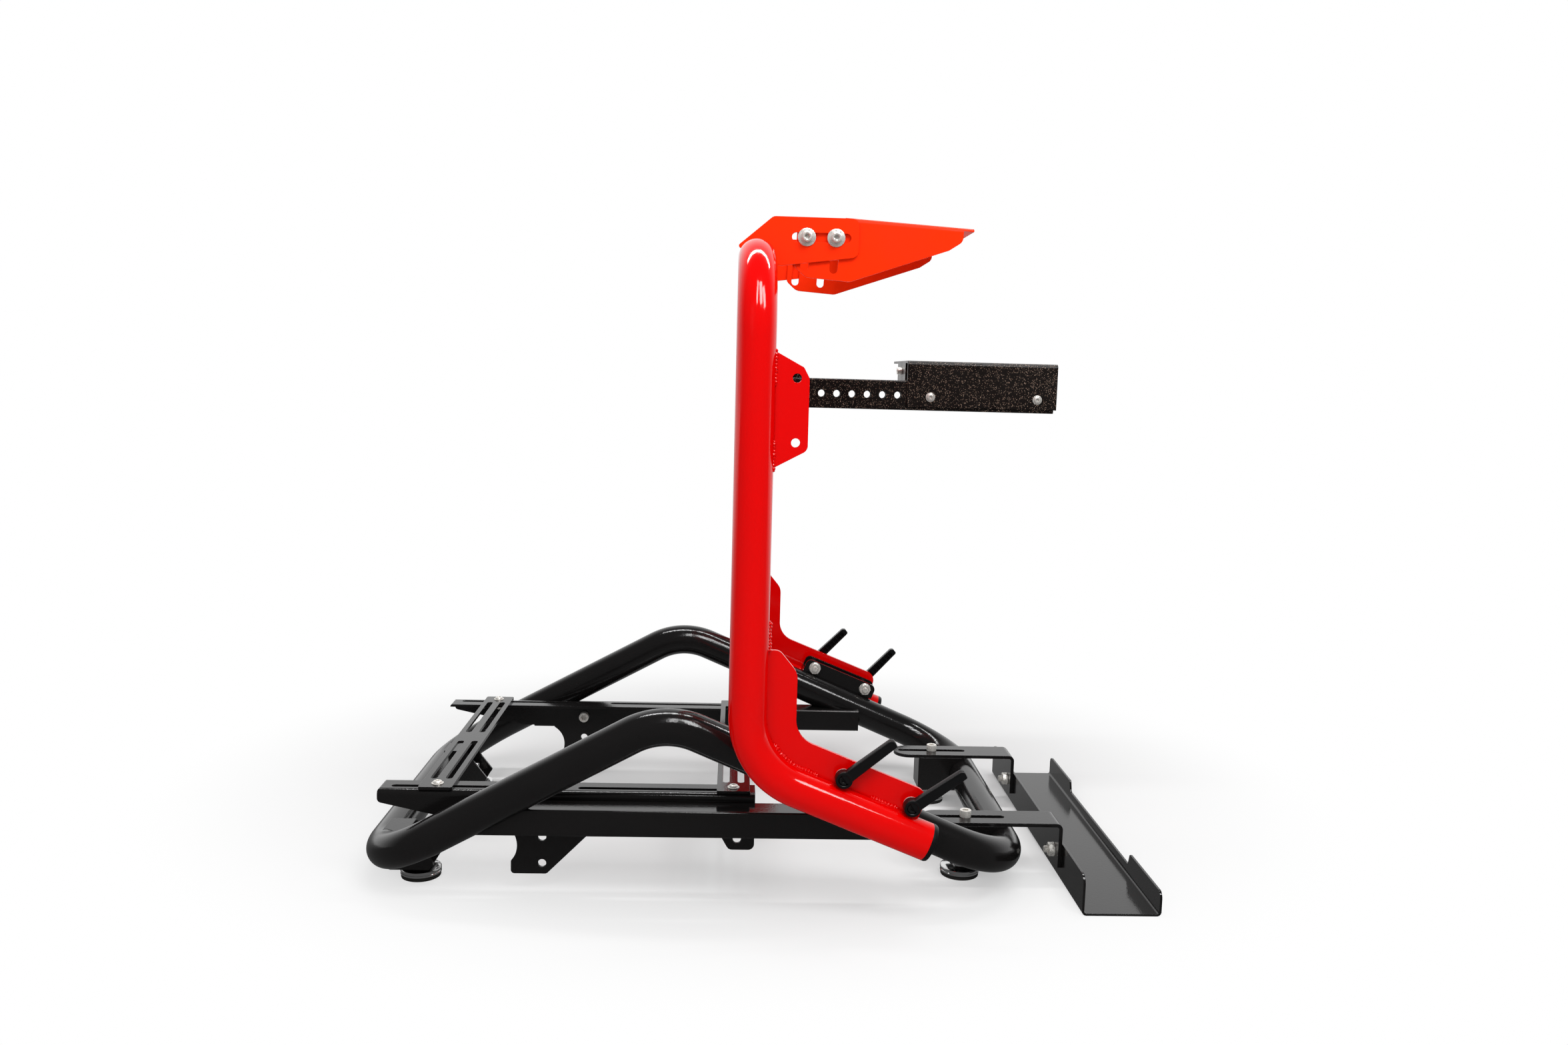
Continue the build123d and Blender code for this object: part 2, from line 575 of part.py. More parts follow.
def caster_tray():
    """Open channel across the stand for the casters of a chair; its rear wall is low in the middle."""
    rear_x = TRAY_X + TRAY_WIDE
    fold = TRAY_T + 3
    section = outline(
        (TRAY_X, TRAY_FRONT_TALL),
        (TRAY_X, 0, fold),
        (rear_x, 0, fold),
        (rear_x, TRAY_EAR_TALL),
        (rear_x - TRAY_T, TRAY_EAR_TALL),
        (rear_x - TRAY_T, TRAY_T, fold - TRAY_T),
        (TRAY_X + TRAY_T, TRAY_T, fold - TRAY_T),
        (TRAY_X + TRAY_T, TRAY_FRONT_TALL),
    )
    tray = extrude(Plane.XZ.offset(-TRAY_HALF) * section, amount=2 * TRAY_HALF)
    across = Plane(origin=(TRAY_X - 1, 0, 0), x_dir=(0, 1, 0), z_dir=(1, 0, 0))
    front_view = outline(
        (-TRAY_HALF, -1),
        (-TRAY_HALF, TRAY_FRONT_TALL, 14),
        (TRAY_HALF, TRAY_FRONT_TALL, 14),
        (TRAY_HALF, -1),
    )
    rear_view = outline(
        (-TRAY_HALF, -1),
        (-TRAY_HALF, TRAY_EAR_TALL, 10),
        (-TRAY_EAR_W, TRAY_EAR_TALL, 4),
        (-TRAY_EAR_W + 6, TRAY_LOW_TALL, 6),
        (TRAY_EAR_W - 6, TRAY_LOW_TALL, 6),
        (TRAY_EAR_W, TRAY_EAR_TALL, 4),
        (TRAY_HALF, TRAY_EAR_TALL, 10),
        (TRAY_HALF, -1),
    )
    half_wide = TRAY_WIDE / 2 + 1
    trimmed = extrude(across * front_view, amount=half_wide)
    trimmed += extrude(across.offset(half_wide) * rear_view, amount=half_wide + 1)
    tray &= trimmed
    for side in (-1, 1):
        tray -= drill(M10, stand_at(TRAY_X, side * ARM_W, ARM_BOLT_Z, (1, 0, 0)), 20)
    return tray


# ================================================================ upright
def upright_tube():
    """One tube bent to a tall arch whose legs turn back along the base's rear slope."""
    return bent_pipe(leg_points)


def end_caps():
    """Plastic caps on the open ends of the upright."""
    end = Plane(origin=(RUN_END_X, -UPRIGHT_W, run_end_z), z_dir=tuple(run_axis))
    cap = Cylinder(TUBE_R, CAP_T, align=BASE)
    cap = fillet(cap.edges().filter_by(GeomType.CIRCLE).sort_by(Axis.Z)[-1], 3)
    cap += Cylinder(TUBE_R - TUBE_WALL, CAP_T * 2, align=TOP)
    cap = end * cap
    return group(cap, right_of(cap))


def along_run(distance, above):
    """Point (x, z) along the lower run from the front clamp screw and square above the screws' line."""
    return (
        CLAMP_X + distance * run_axis.X - above * run_axis.Z,
        CLAMP_Z + distance * run_axis.Z + above * run_axis.X,
    )


def gusset():
    """Plate in the elbow of the upright, with the holes of the two clamp screws."""
    lug_end = CLAMP_PITCH + 16
    leg_face = LEG_X + TUBE_R
    elbow = (leg_face + GUSSET_WIDE - along_run(0, GUSSET_ABOVE)[0]) / run_axis.X
    face = outline(
        (LEG_X, 395),
        (leg_face + 1, 350),
        (leg_face + 14, 350, 12),
        (leg_face + GUSSET_WIDE, 322, 22),
        (*along_run(elbow, GUSSET_ABOVE), 34),
        (*along_run(lug_end, GUSSET_ABOVE), 16),
        (*along_run(lug_end, -32), 4),
        along_run(lug_end - 10, -45),
        (LEG_X, KNEE_Z),
    )
    plate = upright_sheet(face, gusset_inner_w, GUSSET_W) - upright_rod
    for x, z in clamp_points:
        plate -= drill(M10, stand_at(x, -GUSSET_W, z, (0, 1, 0)), 30)
    return plate.solids().sort_by(SortBy.VOLUME)[-1]


def clamp_bracket():
    """Folded bracket welded on the base tube: the clamp screws pass through its two cheeks."""
    face = outline(
        along_run(-CLAMP_END, -12),
        (*along_run(-CLAMP_END, CLAMP_FOLD / 2), 9),
        (*along_run(CLAMP_PITCH + CLAMP_END, CLAMP_FOLD / 2), 9),
        along_run(CLAMP_PITCH + CLAMP_END, -12),
    )
    foot = outline(
        along_run(-CLAMP_END + 4, -30),
        along_run(-CLAMP_END + 4, -10),
        along_run(CLAMP_PITCH + CLAMP_END - 4, -10),
        along_run(CLAMP_PITCH + CLAMP_END - 4, -30),
    )
    inner = clamp_inner_w
    outer = gusset_inner_w
    body = upright_sheet(face, inner, inner + CLAMP_T) + upright_sheet(face, outer - CLAMP_T, outer)
    web = outline(
        along_run(-CLAMP_END, -12),
        along_run(-CLAMP_END, -12 + CLAMP_T),
        along_run(CLAMP_PITCH + CLAMP_END, -12 + CLAMP_T),
        along_run(CLAMP_PITCH + CLAMP_END, -12),
    )
    body += upright_sheet(web, inner, outer)
    body += upright_sheet(foot, inner, inner + CLAMP_T)
    body -= base_rod
    for x, z in clamp_points:
        body -= drill(M10, stand_at(x, -outer, z, (0, 1, 0)), 90)
    return body.solids().sort_by(SortBy.VOLUME)[-1]


def clamp_lever(place, angle):
    """Moulded lever on a clamp screw: round hub and a slim arm with a recess in its underside."""
    x, z = place
    seat = GUSSET_W + WASHER_T
    hub = upright_sheet(Circle(LEVER_HUB / 2), seat, seat + LEVER_HUB_LONG)
    hub = fillet(hub.edges().filter_by(GeomType.CIRCLE).sort_by(Axis.Y)[0], 1.5)
    arm_face = outline(
        (0, 7.5),
        (LEVER_LONG - 4, 6.5, 1.5),
        (LEVER_LONG, 3, 1.5),
        (LEVER_LONG - 1, -5.5, 1.5),
        (0, -7.5),
    )
    arm_in = seat + LEVER_HUB_LONG - 11
    arm = upright_sheet(arm_face, arm_in, seat + LEVER_HUB_LONG - 0.5)
    recess = outline((18, 4.5), (LEVER_LONG - 8, 4), (LEVER_LONG - 8, -3), (18, -4.5))
    arm -= upright_sheet(recess, arm_in - 1, arm_in + 6)
    lever = hub + arm
    lever -= upright_sheet(Circle(M10 / 2), seat - 1, seat + LEVER_HUB_LONG - 3)
    return Pos(x, 0, z) * Rot(0, -angle, 0) * lever


def clamp_stud(place):
    """Threaded stud of a clamp lever, through the gusset and the bracket, with its washer."""
    x, z = place
    low = clamp_inner_w - M10 * NUT_HIGH - 3
    high = GUSSET_W + WASHER_T + LEVER_HUB_LONG - 3
    stud = upright_sheet(Circle(M10 / 2), low, high)
    ring = upright_sheet(Circle(M10) - Circle(M10 / 2), GUSSET_W, GUSSET_W + WASHER_T)
    return Pos(x, 0, z) * (stud + ring)


def clamp_nuts():
    """Flange nuts on the inner cheeks."""
    nuts = [stand_at(x, -clamp_inner_w, z, (0, 1, 0)) * hex_nut(M10) for x, z in clamp_points]
    return group(*nuts, *[right_of(nut) for nut in nuts])


# ================================================================ shifter mount
def shifter_cheek():
    """Trapezoid plate on a leg with two screw holes."""
    top_z = CHEEK_HOLE_Z + CHEEK_HOLE_PITCH
    edge_x = CHEEK_HOLE_X + 15
    face = outline(
        (LEG_X + 10, top_z + 42),
        (LEG_X + TUBE_R, top_z + 31),
        (CHEEK_HOLE_X + 8, top_z + 13, 6),
        (edge_x, top_z, 8),
        (edge_x, CHEEK_HOLE_Z - 9, 10),
        (LEG_X + TUBE_R, CHEEK_HOLE_Z - 31),
        (LEG_X + 10, CHEEK_HOLE_Z - 41),
    )
    plate = upright_sheet(face, arm_seat_w, arm_seat_w + CHEEK_T) - upright_rod
    for row in (0, 1):
        hole_z = CHEEK_HOLE_Z + row * CHEEK_HOLE_PITCH
        plate -= drill(M10, stand_at(CHEEK_HOLE_X, -arm_seat_w, hole_z, (0, 1, 0)), 30)
    return plate.solids().sort_by(SortBy.VOLUME)[-1]


def shifter_arm():
    """Perforated flat tube with an end plate for the right-hand cheek (drawn on the left)."""
    length = SHIFT_ARM_END_X - SHIFT_ARM_X
    section = RectangleRounded(SHIFT_ARM_WIDE, SHIFT_ARM_TALL, 3)
    section -= RectangleRounded(SHIFT_ARM_WIDE - 2 * SHIFT_ARM_WALL, SHIFT_ARM_TALL - 2 * SHIFT_ARM_WALL, 1)
    centre_z = SHIFT_ARM_Z + SHIFT_ARM_TALL / 2
    across = Plane(
        origin=(SHIFT_ARM_X, -arm_outer_w + SHIFT_ARM_WIDE / 2, centre_z), x_dir=(0, 1, 0), z_dir=(1, 0, 0)
    )
    arm = extrude(across * section, amount=length)
    hole_xs = [SHIFT_HOLE_X + step * SHIFT_HOLE_PITCH for step in range(SHIFT_HOLES)]
    for x in hole_xs:
        arm -= stand_at(x, -arm_outer_w, centre_z, (0, 1, 0)) * Cylinder(SHIFT_HOLE_D / 2, 60)
    for x in PLATFORM_SCREW_X:
        arm -= drill(M8, stand_at(x, -arm_outer_w, platform_screw_z, (0, 1, 0)), 60)
    low_x, high_x = SHIFT_PLATE_X
    low_z = CHEEK_HOLE_Z - 18
    high_z = CHEEK_HOLE_Z + CHEEK_HOLE_PITCH + 18
    end_face = outline((low_x, low_z, 6), (high_x, low_z, 6), (high_x, high_z, 6), (low_x, high_z, 6))
    arm += upright_sheet(end_face, arm_outer_w, arm_seat_w)
    for row in (0, 1):
        hole_z = CHEEK_HOLE_Z + row * CHEEK_HOLE_PITCH
        arm -= drill(M10, stand_at(CHEEK_HOLE_X, -arm_seat_w, hole_z, (0, 1, 0)), 30)
    return arm


def shifter_arm_bolts():
    """Cap screws and nuts between the end plate and the right-hand cheek (drawn on the left)."""
    pieces = []
    for row in (0, 1):
        z = CHEEK_HOLE_Z + row * CHEEK_HOLE_PITCH
        pieces.append(stand_at(CHEEK_HOLE_X, -arm_seat_w - CHEEK_T, z, (0, -1, 0)) * cap_screw(M10, 2 * CHEEK_T + M10))
        pieces.append(stand_at(CHEEK_HOLE_X, -arm_outer_w, z, (0, 1, 0)) * hex_nut(M10))
    return group(*pieces)


def shifter_platform():
    """Folded table: a deep flange against the arm, a level top and a short end flange (drawn on the left)."""
    inner_w = arm_inner_w - SHEET
    outer_w = inner_w + PLATFORM_DEEP
    profile = outline(
        (-inner_w, PLATFORM_Z - PLATFORM_FLANGE),
        (-inner_w, PLATFORM_Z, 7),
        (-outer_w, PLATFORM_Z),
        (-outer_w, PLATFORM_Z - SHEET),
        (-inner_w - SHEET, PLATFORM_Z - SHEET, 3),
        (-inner_w - SHEET, PLATFORM_Z - PLATFORM_FLANGE),
    )
    across = Plane(origin=(PLATFORM_X, 0, 0), x_dir=(0, 1, 0), z_dir=(1, 0, 0))
    table = extrude(across * profile, amount=PLATFORM_LONG)
    end_outer_w = end_flange_w + END_FLANGE_WIDE
    end_face = outline(
        (-end_flange_w, PLATFORM_Z - SHEET / 2),
        (-end_flange_w, PLATFORM_Z - END_FLANGE_TALL, 4),
        (-end_outer_w, PLATFORM_Z - END_FLANGE_TALL, 4),
        (-end_outer_w, PLATFORM_Z - SHEET / 2),
    )
    table += extrude(across * end_face, amount=SHEET)
    for x in PLATFORM_SCREW_X:
        table -= drill(M8, stand_at(x, -inner_w, platform_screw_z, (0, 1, 0)), 20)
    centre_x = PLATFORM_X + PLATFORM_LONG / 2
    centre_w = (arm_seat_w + outer_w) / 2
    for x_side in (-1, 1):
        for y_side in (-1, 1):
            x = centre_x + x_side * SHIFTER_ROWS / 2
            y = -centre_w + y_side * SHIFTER_COLUMNS / 2
            table -= drill(M8, stand_at(x, y, PLATFORM_Z, (0, 0, 1)), 20)
    return table - drill(M8, stand_at(PLATFORM_X, -end_flange_w - END_FLANGE_WIDE / 2, end_screw_z, (1, 0, 0)), 20)


def platform_screws():
    """Flanged screws through the platform's flange and the arm, with nuts behind, and one in the end flange."""
    pieces = []
    for x in PLATFORM_SCREW_X:
        seat = stand_at(x, -arm_inner_w + SHEET, platform_screw_z, (0, 1, 0))
        pieces.append(seat * button_screw(M8, SHEET + SHIFT_ARM_WIDE + M8))
        pieces.append(stand_at(x, -arm_outer_w, platform_screw_z, (0, -1, 0)) * hex_nut(M8))
    w = end_flange_w + END_FLANGE_WIDE / 2
    pieces.append(stand_at(PLATFORM_X, -w, end_screw_z, (-1, 0, 0)) * cap_screw(M8, SHEET + M8 + 4))
    pieces.append(stand_at(PLATFORM_X + SHEET, -w, end_screw_z, (1, 0, 0)) * hex_nut(M8))
    return group(*pieces)


# ================================================================ wheel mount
def wheel_cheek():
    """Plate standing on the top cross tube, with the slot that lets the wheel deck slide."""
    slot_middle, slot_long = span(*CHEEK_SLOT)
    face = outline(
        (LEG_X - 26, TOP_Z + 22, 3),
        (LEG_X + 21, TOP_Z + WHEEL_CHEEK_TALL, 10),
        (CHEEK_SLOT[1] + 10.4, TOP_Z + WHEEL_CHEEK_TALL, 10),
        (CHEEK_SLOT[1] + 10.4, TOP_Z + 11.5, 10),
        (LEG_X + 33, TOP_Z - 2),
        (LEG_X, TOP_Z),
        (LEG_X - 16, TOP_Z + 16),
    )
    face -= slot(slot_middle, deck_bolt_z, slot_long, CHEEK_SLOT_WIDE)
    plate = upright_sheet(face, WHEEL_W - WHEEL_T, WHEEL_W) - upright_rod
    return plate.solids().sort_by(SortBy.VOLUME)[-1]


def wheel_deck():
    """Folded deck between the cheeks: a level top for the wheel base and two slotted, tapering flanges."""
    low = -60.0
    section = outline(
        (-deck_half, low),
        (-deck_half, DECK_TOP, 6),
        (deck_half, DECK_TOP, 6),
        (deck_half, low),
        (deck_half - SHEET, low),
        (deck_half - SHEET, DECK_TOP - SHEET, 2),
        (-deck_half + SHEET, DECK_TOP - SHEET, 2),
        (-deck_half + SHEET, low),
    )
    across = Plane(origin=(DECK_BACK, 0, 0), x_dir=(0, 1, 0), z_dir=(1, 0, 0))
    deck = extrude(across * section, amount=DECK_LIP - DECK_BACK)
    side = outline(
        (DECK_BACK, DECK_FLANGE_LOW),
        (DECK_TOP_BACK, DECK_FLANGE_LOW),
        (DECK_TOP_BACK, DECK_TOP),
        (DECK_LIP, DECK_TOP),
        (DECK_LIP, DECK_TOP - SHEET),
        (DECK_LIP - 14, DECK_TOP - SHEET),
        (DECK_LIP - 14, 12, 10),
        (DECK_LIP - 31, -0.5, 4),
        (62.3, -53, 12),
        (3, -52, 16),
        (DECK_BACK, -39, 8),
    )
    deck &= extrude(Plane.XZ.offset(-deck_half) * side, amount=2 * deck_half)
    slot_middle, slot_long = span(DECK_SLOT_LOW, DECK_SLOT_HIGH)
    pitch = DECK_BOLT_X[1] - DECK_BOLT_X[0]
    slots = slot(0, slot_middle, slot_long, DECK_SLOT_WIDE, 90)
    slots += slot(pitch, slot_middle, slot_long, DECK_SLOT_WIDE, 90)
    deck -= extrude(Plane.XZ.offset(-deck_half - 1) * slots, amount=2 * deck_half + 2)
    for turn in range(4):
        angle = radians(45 + 90 * turn)
        x = DECK_HOLE_U + DECK_HOLE_PCD / 2 * cos(angle)
        y = DECK_HOLE_PCD / 2 * sin(angle)
        deck -= Pos(x, y, DECK_TOP) * Cylinder(DECK_HOLE_D / 2, 20)
    return Pos(DECK_BOLT_X[0], 0, deck_bolt_z) * Rot(0, DECK_TILT, 0) * deck


def deck_places(w, outward):
    """Planes at the left side's two deck bolts, facing away from the deck or into it."""
    return [stand_at(x, -w, deck_bolt_z, (0, -1 if outward else 1, 0)) for x in DECK_BOLT_X]


def deck_bolts():
    """Cap screws through cheeks and deck."""
    grip = 2 * WASHER_T + WHEEL_T + SLIP + SHEET + WASHER_T + M8 * NUT_HIGH + 3
    bolts = [plane * cap_screw(M8, grip) for plane in deck_places(WHEEL_W + 2 * WASHER_T, True)]
    return group(*bolts, *[right_of(bolt) for bolt in bolts])


def deck_washers():
    """A small washer on a large one outside each cheek, and a large one inside the deck."""
    rings = []
    for plane in deck_places(WHEEL_W, True):
        rings.append(plane * washer(M8, 3 * M8))
        rings.append(plane.offset(WASHER_T) * washer(M8, 2 * M8))
    for plane in deck_places(deck_half - SHEET, False):
        rings.append(plane * washer(M8, 3 * M8))
    return group(*rings, *[right_of(ring) for ring in rings])


def deck_nuts():
    """Flange nuts inside the deck."""
    nuts = [plane.offset(WASHER_T) * hex_nut(M8) for plane in deck_places(deck_half - SHEET, False)]
    return group(*nuts, *[right_of(nut) for nut in nuts])


# ================================================================ assembly
def pair(parts, name, shape):
    """Store a left piece and its mirror image."""
    parts[f"{name}_left"] = shape
    parts[f"{name}_right"] = right_of(shape)


def build():
    """Every sub-part by its node name."""
    parts = {}
    pair(parts, "base_tube", base_tube_half())
    pair(parts, "side_beam", side_beam())
    pair(parts, "pedal_rail", pedal_rail())
    parts["rail_bolts"] = rail_bolts()
    for end, x in (("front", FRONT_PLATE_X), ("rear", REAR_PLATE_X)):
        parts[f"{end}_pedal_plate"] = pedal_plate(x)
        parts[f"{end}_plate_bolts"] = plate_bolts(x)
        parts[f"{end}_plate_nuts"] = plate_nuts(x)
    pair(parts, "front_foot_bracket", front_foot_bracket())
    pair(parts, "rear_foot_bracket", rear_foot_bracket())
    for end, (x, w, web_z) in FOOT_PLACES.items():
        pair(parts, f"{end}_foot", foot_disc(x, w, web_z))
        pair(parts, f"{end}_foot_pad", foot_pad(x, w))
    parts["foot_nuts"] = foot_nuts()
    pair(parts, "tray_arm", tray_arm())
    parts["arm_screws"] = arm_screws()
    parts["tray_bolts"] = tray_bolts()
    parts["tray_nuts"] = tray_nuts()
    parts["caster_tray"] = caster_tray()
    parts["upright_tube"] = upright_tube()
    parts["end_caps"] = end_caps()
    pair(parts, "gusset", gusset())
    pair(parts, "clamp_bracket", clamp_bracket())
    for end, place, left_angle, right_angle in zip(
        ("front", "rear"), clamp_points, LEFT_LEVER_ANGLES, RIGHT_LEVER_ANGLES
    ):
        parts[f"{end}_clamp_lever_left"] = clamp_lever(place, left_angle)
        parts[f"{end}_clamp_lever_right"] = right_of(clamp_lever(place, right_angle))
        pair(parts, f"{end}_clamp_stud", clamp_stud(place))
    parts["clamp_nuts"] = clamp_nuts()
    pair(parts, "shifter_cheek", shifter_cheek())
    parts["shifter_arm"] = right_of(shifter_arm())
    parts["shifter_arm_bolts"] = right_of(shifter_arm_bolts())
    parts["shifter_platform"] = right_of(shifter_platform())
    parts["platform_screws"] = right_of(platform_screws())
    pair(parts, "wheel_cheek", wheel_cheek())
    parts["wheel_deck"] = wheel_deck()
    parts["deck_bolts"] = deck_bolts()
    parts["deck_washers"] = deck_washers()
    parts["deck_nuts"] = deck_nuts()
    return parts


# The origin is the centre of the floor area that the stand covers.
low_x = FRONT_X - TUBE_R
high_x = TRAY_X + TRAY_WIDE
low_y = -(UPRIGHT_W + TUBE_R)
high_y = arm_inner_w - SHEET + PLATFORM_DEEP
HOME = Pos(-(low_x + high_x) / 2, -(low_y + high_y) / 2, 0)

if __name__ == "__main__":
    os.makedirs("parts", exist_ok=True)
    for node, shape in build().items():
        export_step(HOME * shape, f"parts/{node}.step")
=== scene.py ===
"""Looks of a steel-tube wheel stand for driving games: paints, welds, smooth tubes, levers, screws and feet.

Sizes are in millimetres, in the stand's own axes: +X to the driver's seat, +Y to the driver's right, +Z up.
X starts at the front pedal plate's bolts, Y at the middle plane and Z at the floor. Datum turns them into the
frame's metres.
"""
from __future__ import annotations

import json
import logging
import math
from dataclasses import dataclass, field
from enum import Enum
from typing import NamedTuple

import bpy
import numpy as np
from mathutils import Matrix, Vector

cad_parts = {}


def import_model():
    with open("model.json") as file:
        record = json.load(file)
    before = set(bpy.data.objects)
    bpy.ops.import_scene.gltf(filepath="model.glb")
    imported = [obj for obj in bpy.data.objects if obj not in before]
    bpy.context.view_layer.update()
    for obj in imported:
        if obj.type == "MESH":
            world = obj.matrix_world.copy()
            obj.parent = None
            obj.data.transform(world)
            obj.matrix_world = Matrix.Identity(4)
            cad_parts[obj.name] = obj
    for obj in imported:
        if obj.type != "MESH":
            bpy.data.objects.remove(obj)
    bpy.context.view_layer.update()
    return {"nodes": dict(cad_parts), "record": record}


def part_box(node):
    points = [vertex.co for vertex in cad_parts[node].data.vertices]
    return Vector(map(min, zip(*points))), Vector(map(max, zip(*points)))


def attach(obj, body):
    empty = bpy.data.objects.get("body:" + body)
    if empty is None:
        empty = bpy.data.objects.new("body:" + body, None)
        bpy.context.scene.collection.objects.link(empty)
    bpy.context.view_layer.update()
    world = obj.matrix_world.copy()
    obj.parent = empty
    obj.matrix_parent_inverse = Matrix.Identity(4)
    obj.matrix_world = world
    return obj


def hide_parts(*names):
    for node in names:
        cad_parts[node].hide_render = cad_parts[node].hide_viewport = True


MM = 0.001
M8 = 8.0
M10 = 10.0
M8_PITCH = 1.25
M10_PITCH = 1.5
STUD_CUT = 0.6            # depth of the thread of a stud
RINGS_PER_TURN = 6        # rings of points in one turn of a thread
TUBE_STEPS = 64           # points round a tube
SHARP_DEG = 35.0          # an edge that turns by more is drawn sharp
LOG = logging.getLogger("wheel_stand")


class Side(Enum):
    """The driver's left or right, with the sign of its Y."""

    LEFT = -1
    RIGHT = 1

    @property
    def word(self) -> str:
        """Ending of this side's node names."""
        return self.name.lower()


class Outline(Enum):
    """Cross-section of a turned station: a circle, or a hexagon measured across its flats."""

    ROUND = 0
    HEX = 1


# ------------------------------------------------------------------ colours and nodes
def srgb(code: str) -> tuple[float, float, float, float]:
    """Linear colour of an sRGB hex code.

    Args:
        code: Hex code such as "#d90a08".

    Returns:
        Linear red, green and blue, and an alpha of 1.
    """
    channels = np.array([int(code[i : i + 2], 16) for i in (1, 3, 5)]) / 255
    low = channels / 12.92
    high = ((channels + 0.055) / 1.055) ** 2.4
    return (*np.where(channels <= 0.04045, low, high).tolist(), 1.0)


def add_node(
    tree: bpy.types.NodeTree, kind: str, settings: dict | None = None, **sockets: object
) -> bpy.types.Node:
    """Adds a node, sets its properties and sets or links its inputs.

    Args:
        tree: Tree that takes the node.
        kind: Blender's node type name.
        settings: Property values by property name.
        **sockets: Value or output socket by input name, with "_" for a space, or "in0", "in1" for an index.

    Returns:
        The new node.
    """
    node = tree.nodes.new(kind)
    for name, value in (settings or {}).items():
        setattr(node, name, value)
    for name, value in sockets.items():
        key = int(name[2:]) if name[:2] == "in" and name[2:].isdigit() else name.replace("_", " ")
        if isinstance(value, bpy.types.NodeSocket):
            tree.links.new(value, node.inputs[key])
        else:
            node.inputs[key].default_value = value
    return node


def blank_material(name: str) -> tuple[bpy.types.Material, bpy.types.NodeTree]:
    """Makes a material with an empty node tree.

    Args:
        name: Material name.

    Returns:
        The material and its tree.
    """
    material = bpy.data.materials.new(name)
    material.use_nodes = True
    material.node_tree.nodes.clear()
    return material, material.node_tree


# ------------------------------------------------------------------ finishes
@dataclass(frozen=True)
class PowderCoat:
    """Sprayed and baked polyester powder: an even colour under a skin that dimples like orange peel.

    Attributes:
        name: Material name.
        colour: Paint colour.
        worn: Slightly dustier colour of the paint between highlights.
        roughness: Roughness of the skin.
        peel_mm: Distance between dimples.
        peel_depth_mm: Depth of a dimple.
        grain_mm: Distance between texture grains, or 0 for a smooth paint.
        grain_depth_mm: Height of a grain.
        sparkle: Share of grains in a textured paint that take a light colour: partly its bright metal flakes,
            partly painted glints where grains catch the light.
        level: Specular level.
        edge_mm: Radius to which the powder rounds a sheet's edge.
        cloud_mm: Width of a patch of the dustier colour.
        flake: Colour of a light fleck, a flake with its painted glint.
        flake_share: Distance between light flecks over that between grains.
    """

    name: str
    colour: str
    worn: str
    roughness: float
    peel_mm: float
    peel_depth_mm: float
    grain_mm: float = 0.0
    grain_depth_mm: float = 0.0
    sparkle: float = 0.0
    level: float = 0.5
    edge_mm: float = 0.9
    cloud_mm: float = 60.0
    flake: str = "#a8907f"
    flake_share: float = 0.8

    def build(self) -> bpy.types.Material:
        """Makes the material.

        Returns:
            A node material on Object coordinates.
        """
        material, tree = blank_material(self.name)
        place = add_node(tree, "ShaderNodeTexCoord").outputs["Object"]
        cloud = add_node(tree, "ShaderNodeTexNoise", Vector=place, Scale=1 / (self.cloud_mm * MM), Detail=3.0)
        tone = add_node(
            tree, "ShaderNodeMix", {"data_type": "RGBA"}, in0=cloud.outputs[0], in6=srgb(self.colour),
            in7=srgb(self.worn),
        )
        edge = add_node(tree, "ShaderNodeBevel", {"samples": 4}, Radius=self.edge_mm * MM)
        peel = add_node(tree, "ShaderNodeTexNoise", Vector=place, Scale=1 / (self.peel_mm * MM), Detail=1.5)
        skin = add_node(
            tree, "ShaderNodeBump", Strength=1.0, Distance=self.peel_depth_mm * MM, Height=peel.outputs[0],
            Normal=edge.outputs[0],
        )
        normal = skin.outputs[0]
        if self.grain_mm:
            grain = add_node(
                tree, "ShaderNodeTexVoronoi", {"feature": "SMOOTH_F1"}, Vector=place,
                Scale=1 / (self.grain_mm * MM), Smoothness=0.4,
            )
            normal = add_node(
                tree, "ShaderNodeBump", {"invert": True}, Strength=1.0, Distance=self.grain_depth_mm * MM,
                Height=grain.outputs["Distance"], Normal=normal,
            ).outputs[0]
        rub = add_node(
            tree, "ShaderNodeMapRange", Value=cloud.outputs[0], in1=0.3, in2=0.7, in3=self.roughness * 0.85,
            in4=self.roughness * 1.2,
        )
        paint = add_node(
            tree, "ShaderNodeBsdfPrincipled", Base_Color=tone.outputs[2], Roughness=rub.outputs[0], IOR=1.5,
            Specular_IOR_Level=self.level, Normal=normal,
        )
        # Painted glints: a share of the grains takes a light colour in place of the paint, standing in for
        # bright flakes and the sparkle of light off them.
        if self.sparkle:
            flake = add_node(
                tree, "ShaderNodeTexVoronoi", Vector=place, Scale=1 / (self.grain_mm * self.flake_share * MM)
            )
            painted_glint_mask = add_node(
                tree, "ShaderNodeMath", {"operation": "GREATER_THAN"},
                in0=add_node(tree, "ShaderNodeSeparateColor", Color=flake.outputs["Color"]).outputs[0],
                in1=1.0 - self.sparkle,
            )
            painted_glint_tone = add_node(
                tree, "ShaderNodeMix", {"data_type": "RGBA"}, in0=painted_glint_mask.outputs[0], in6=tone.outputs[2],
                in7=srgb(self.flake),
            )
            tree.links.new(painted_glint_tone.outputs[2], paint.inputs["Base Color"])
        add_node(tree, "ShaderNodeOutputMaterial", Surface=paint.outputs[0])
        return material


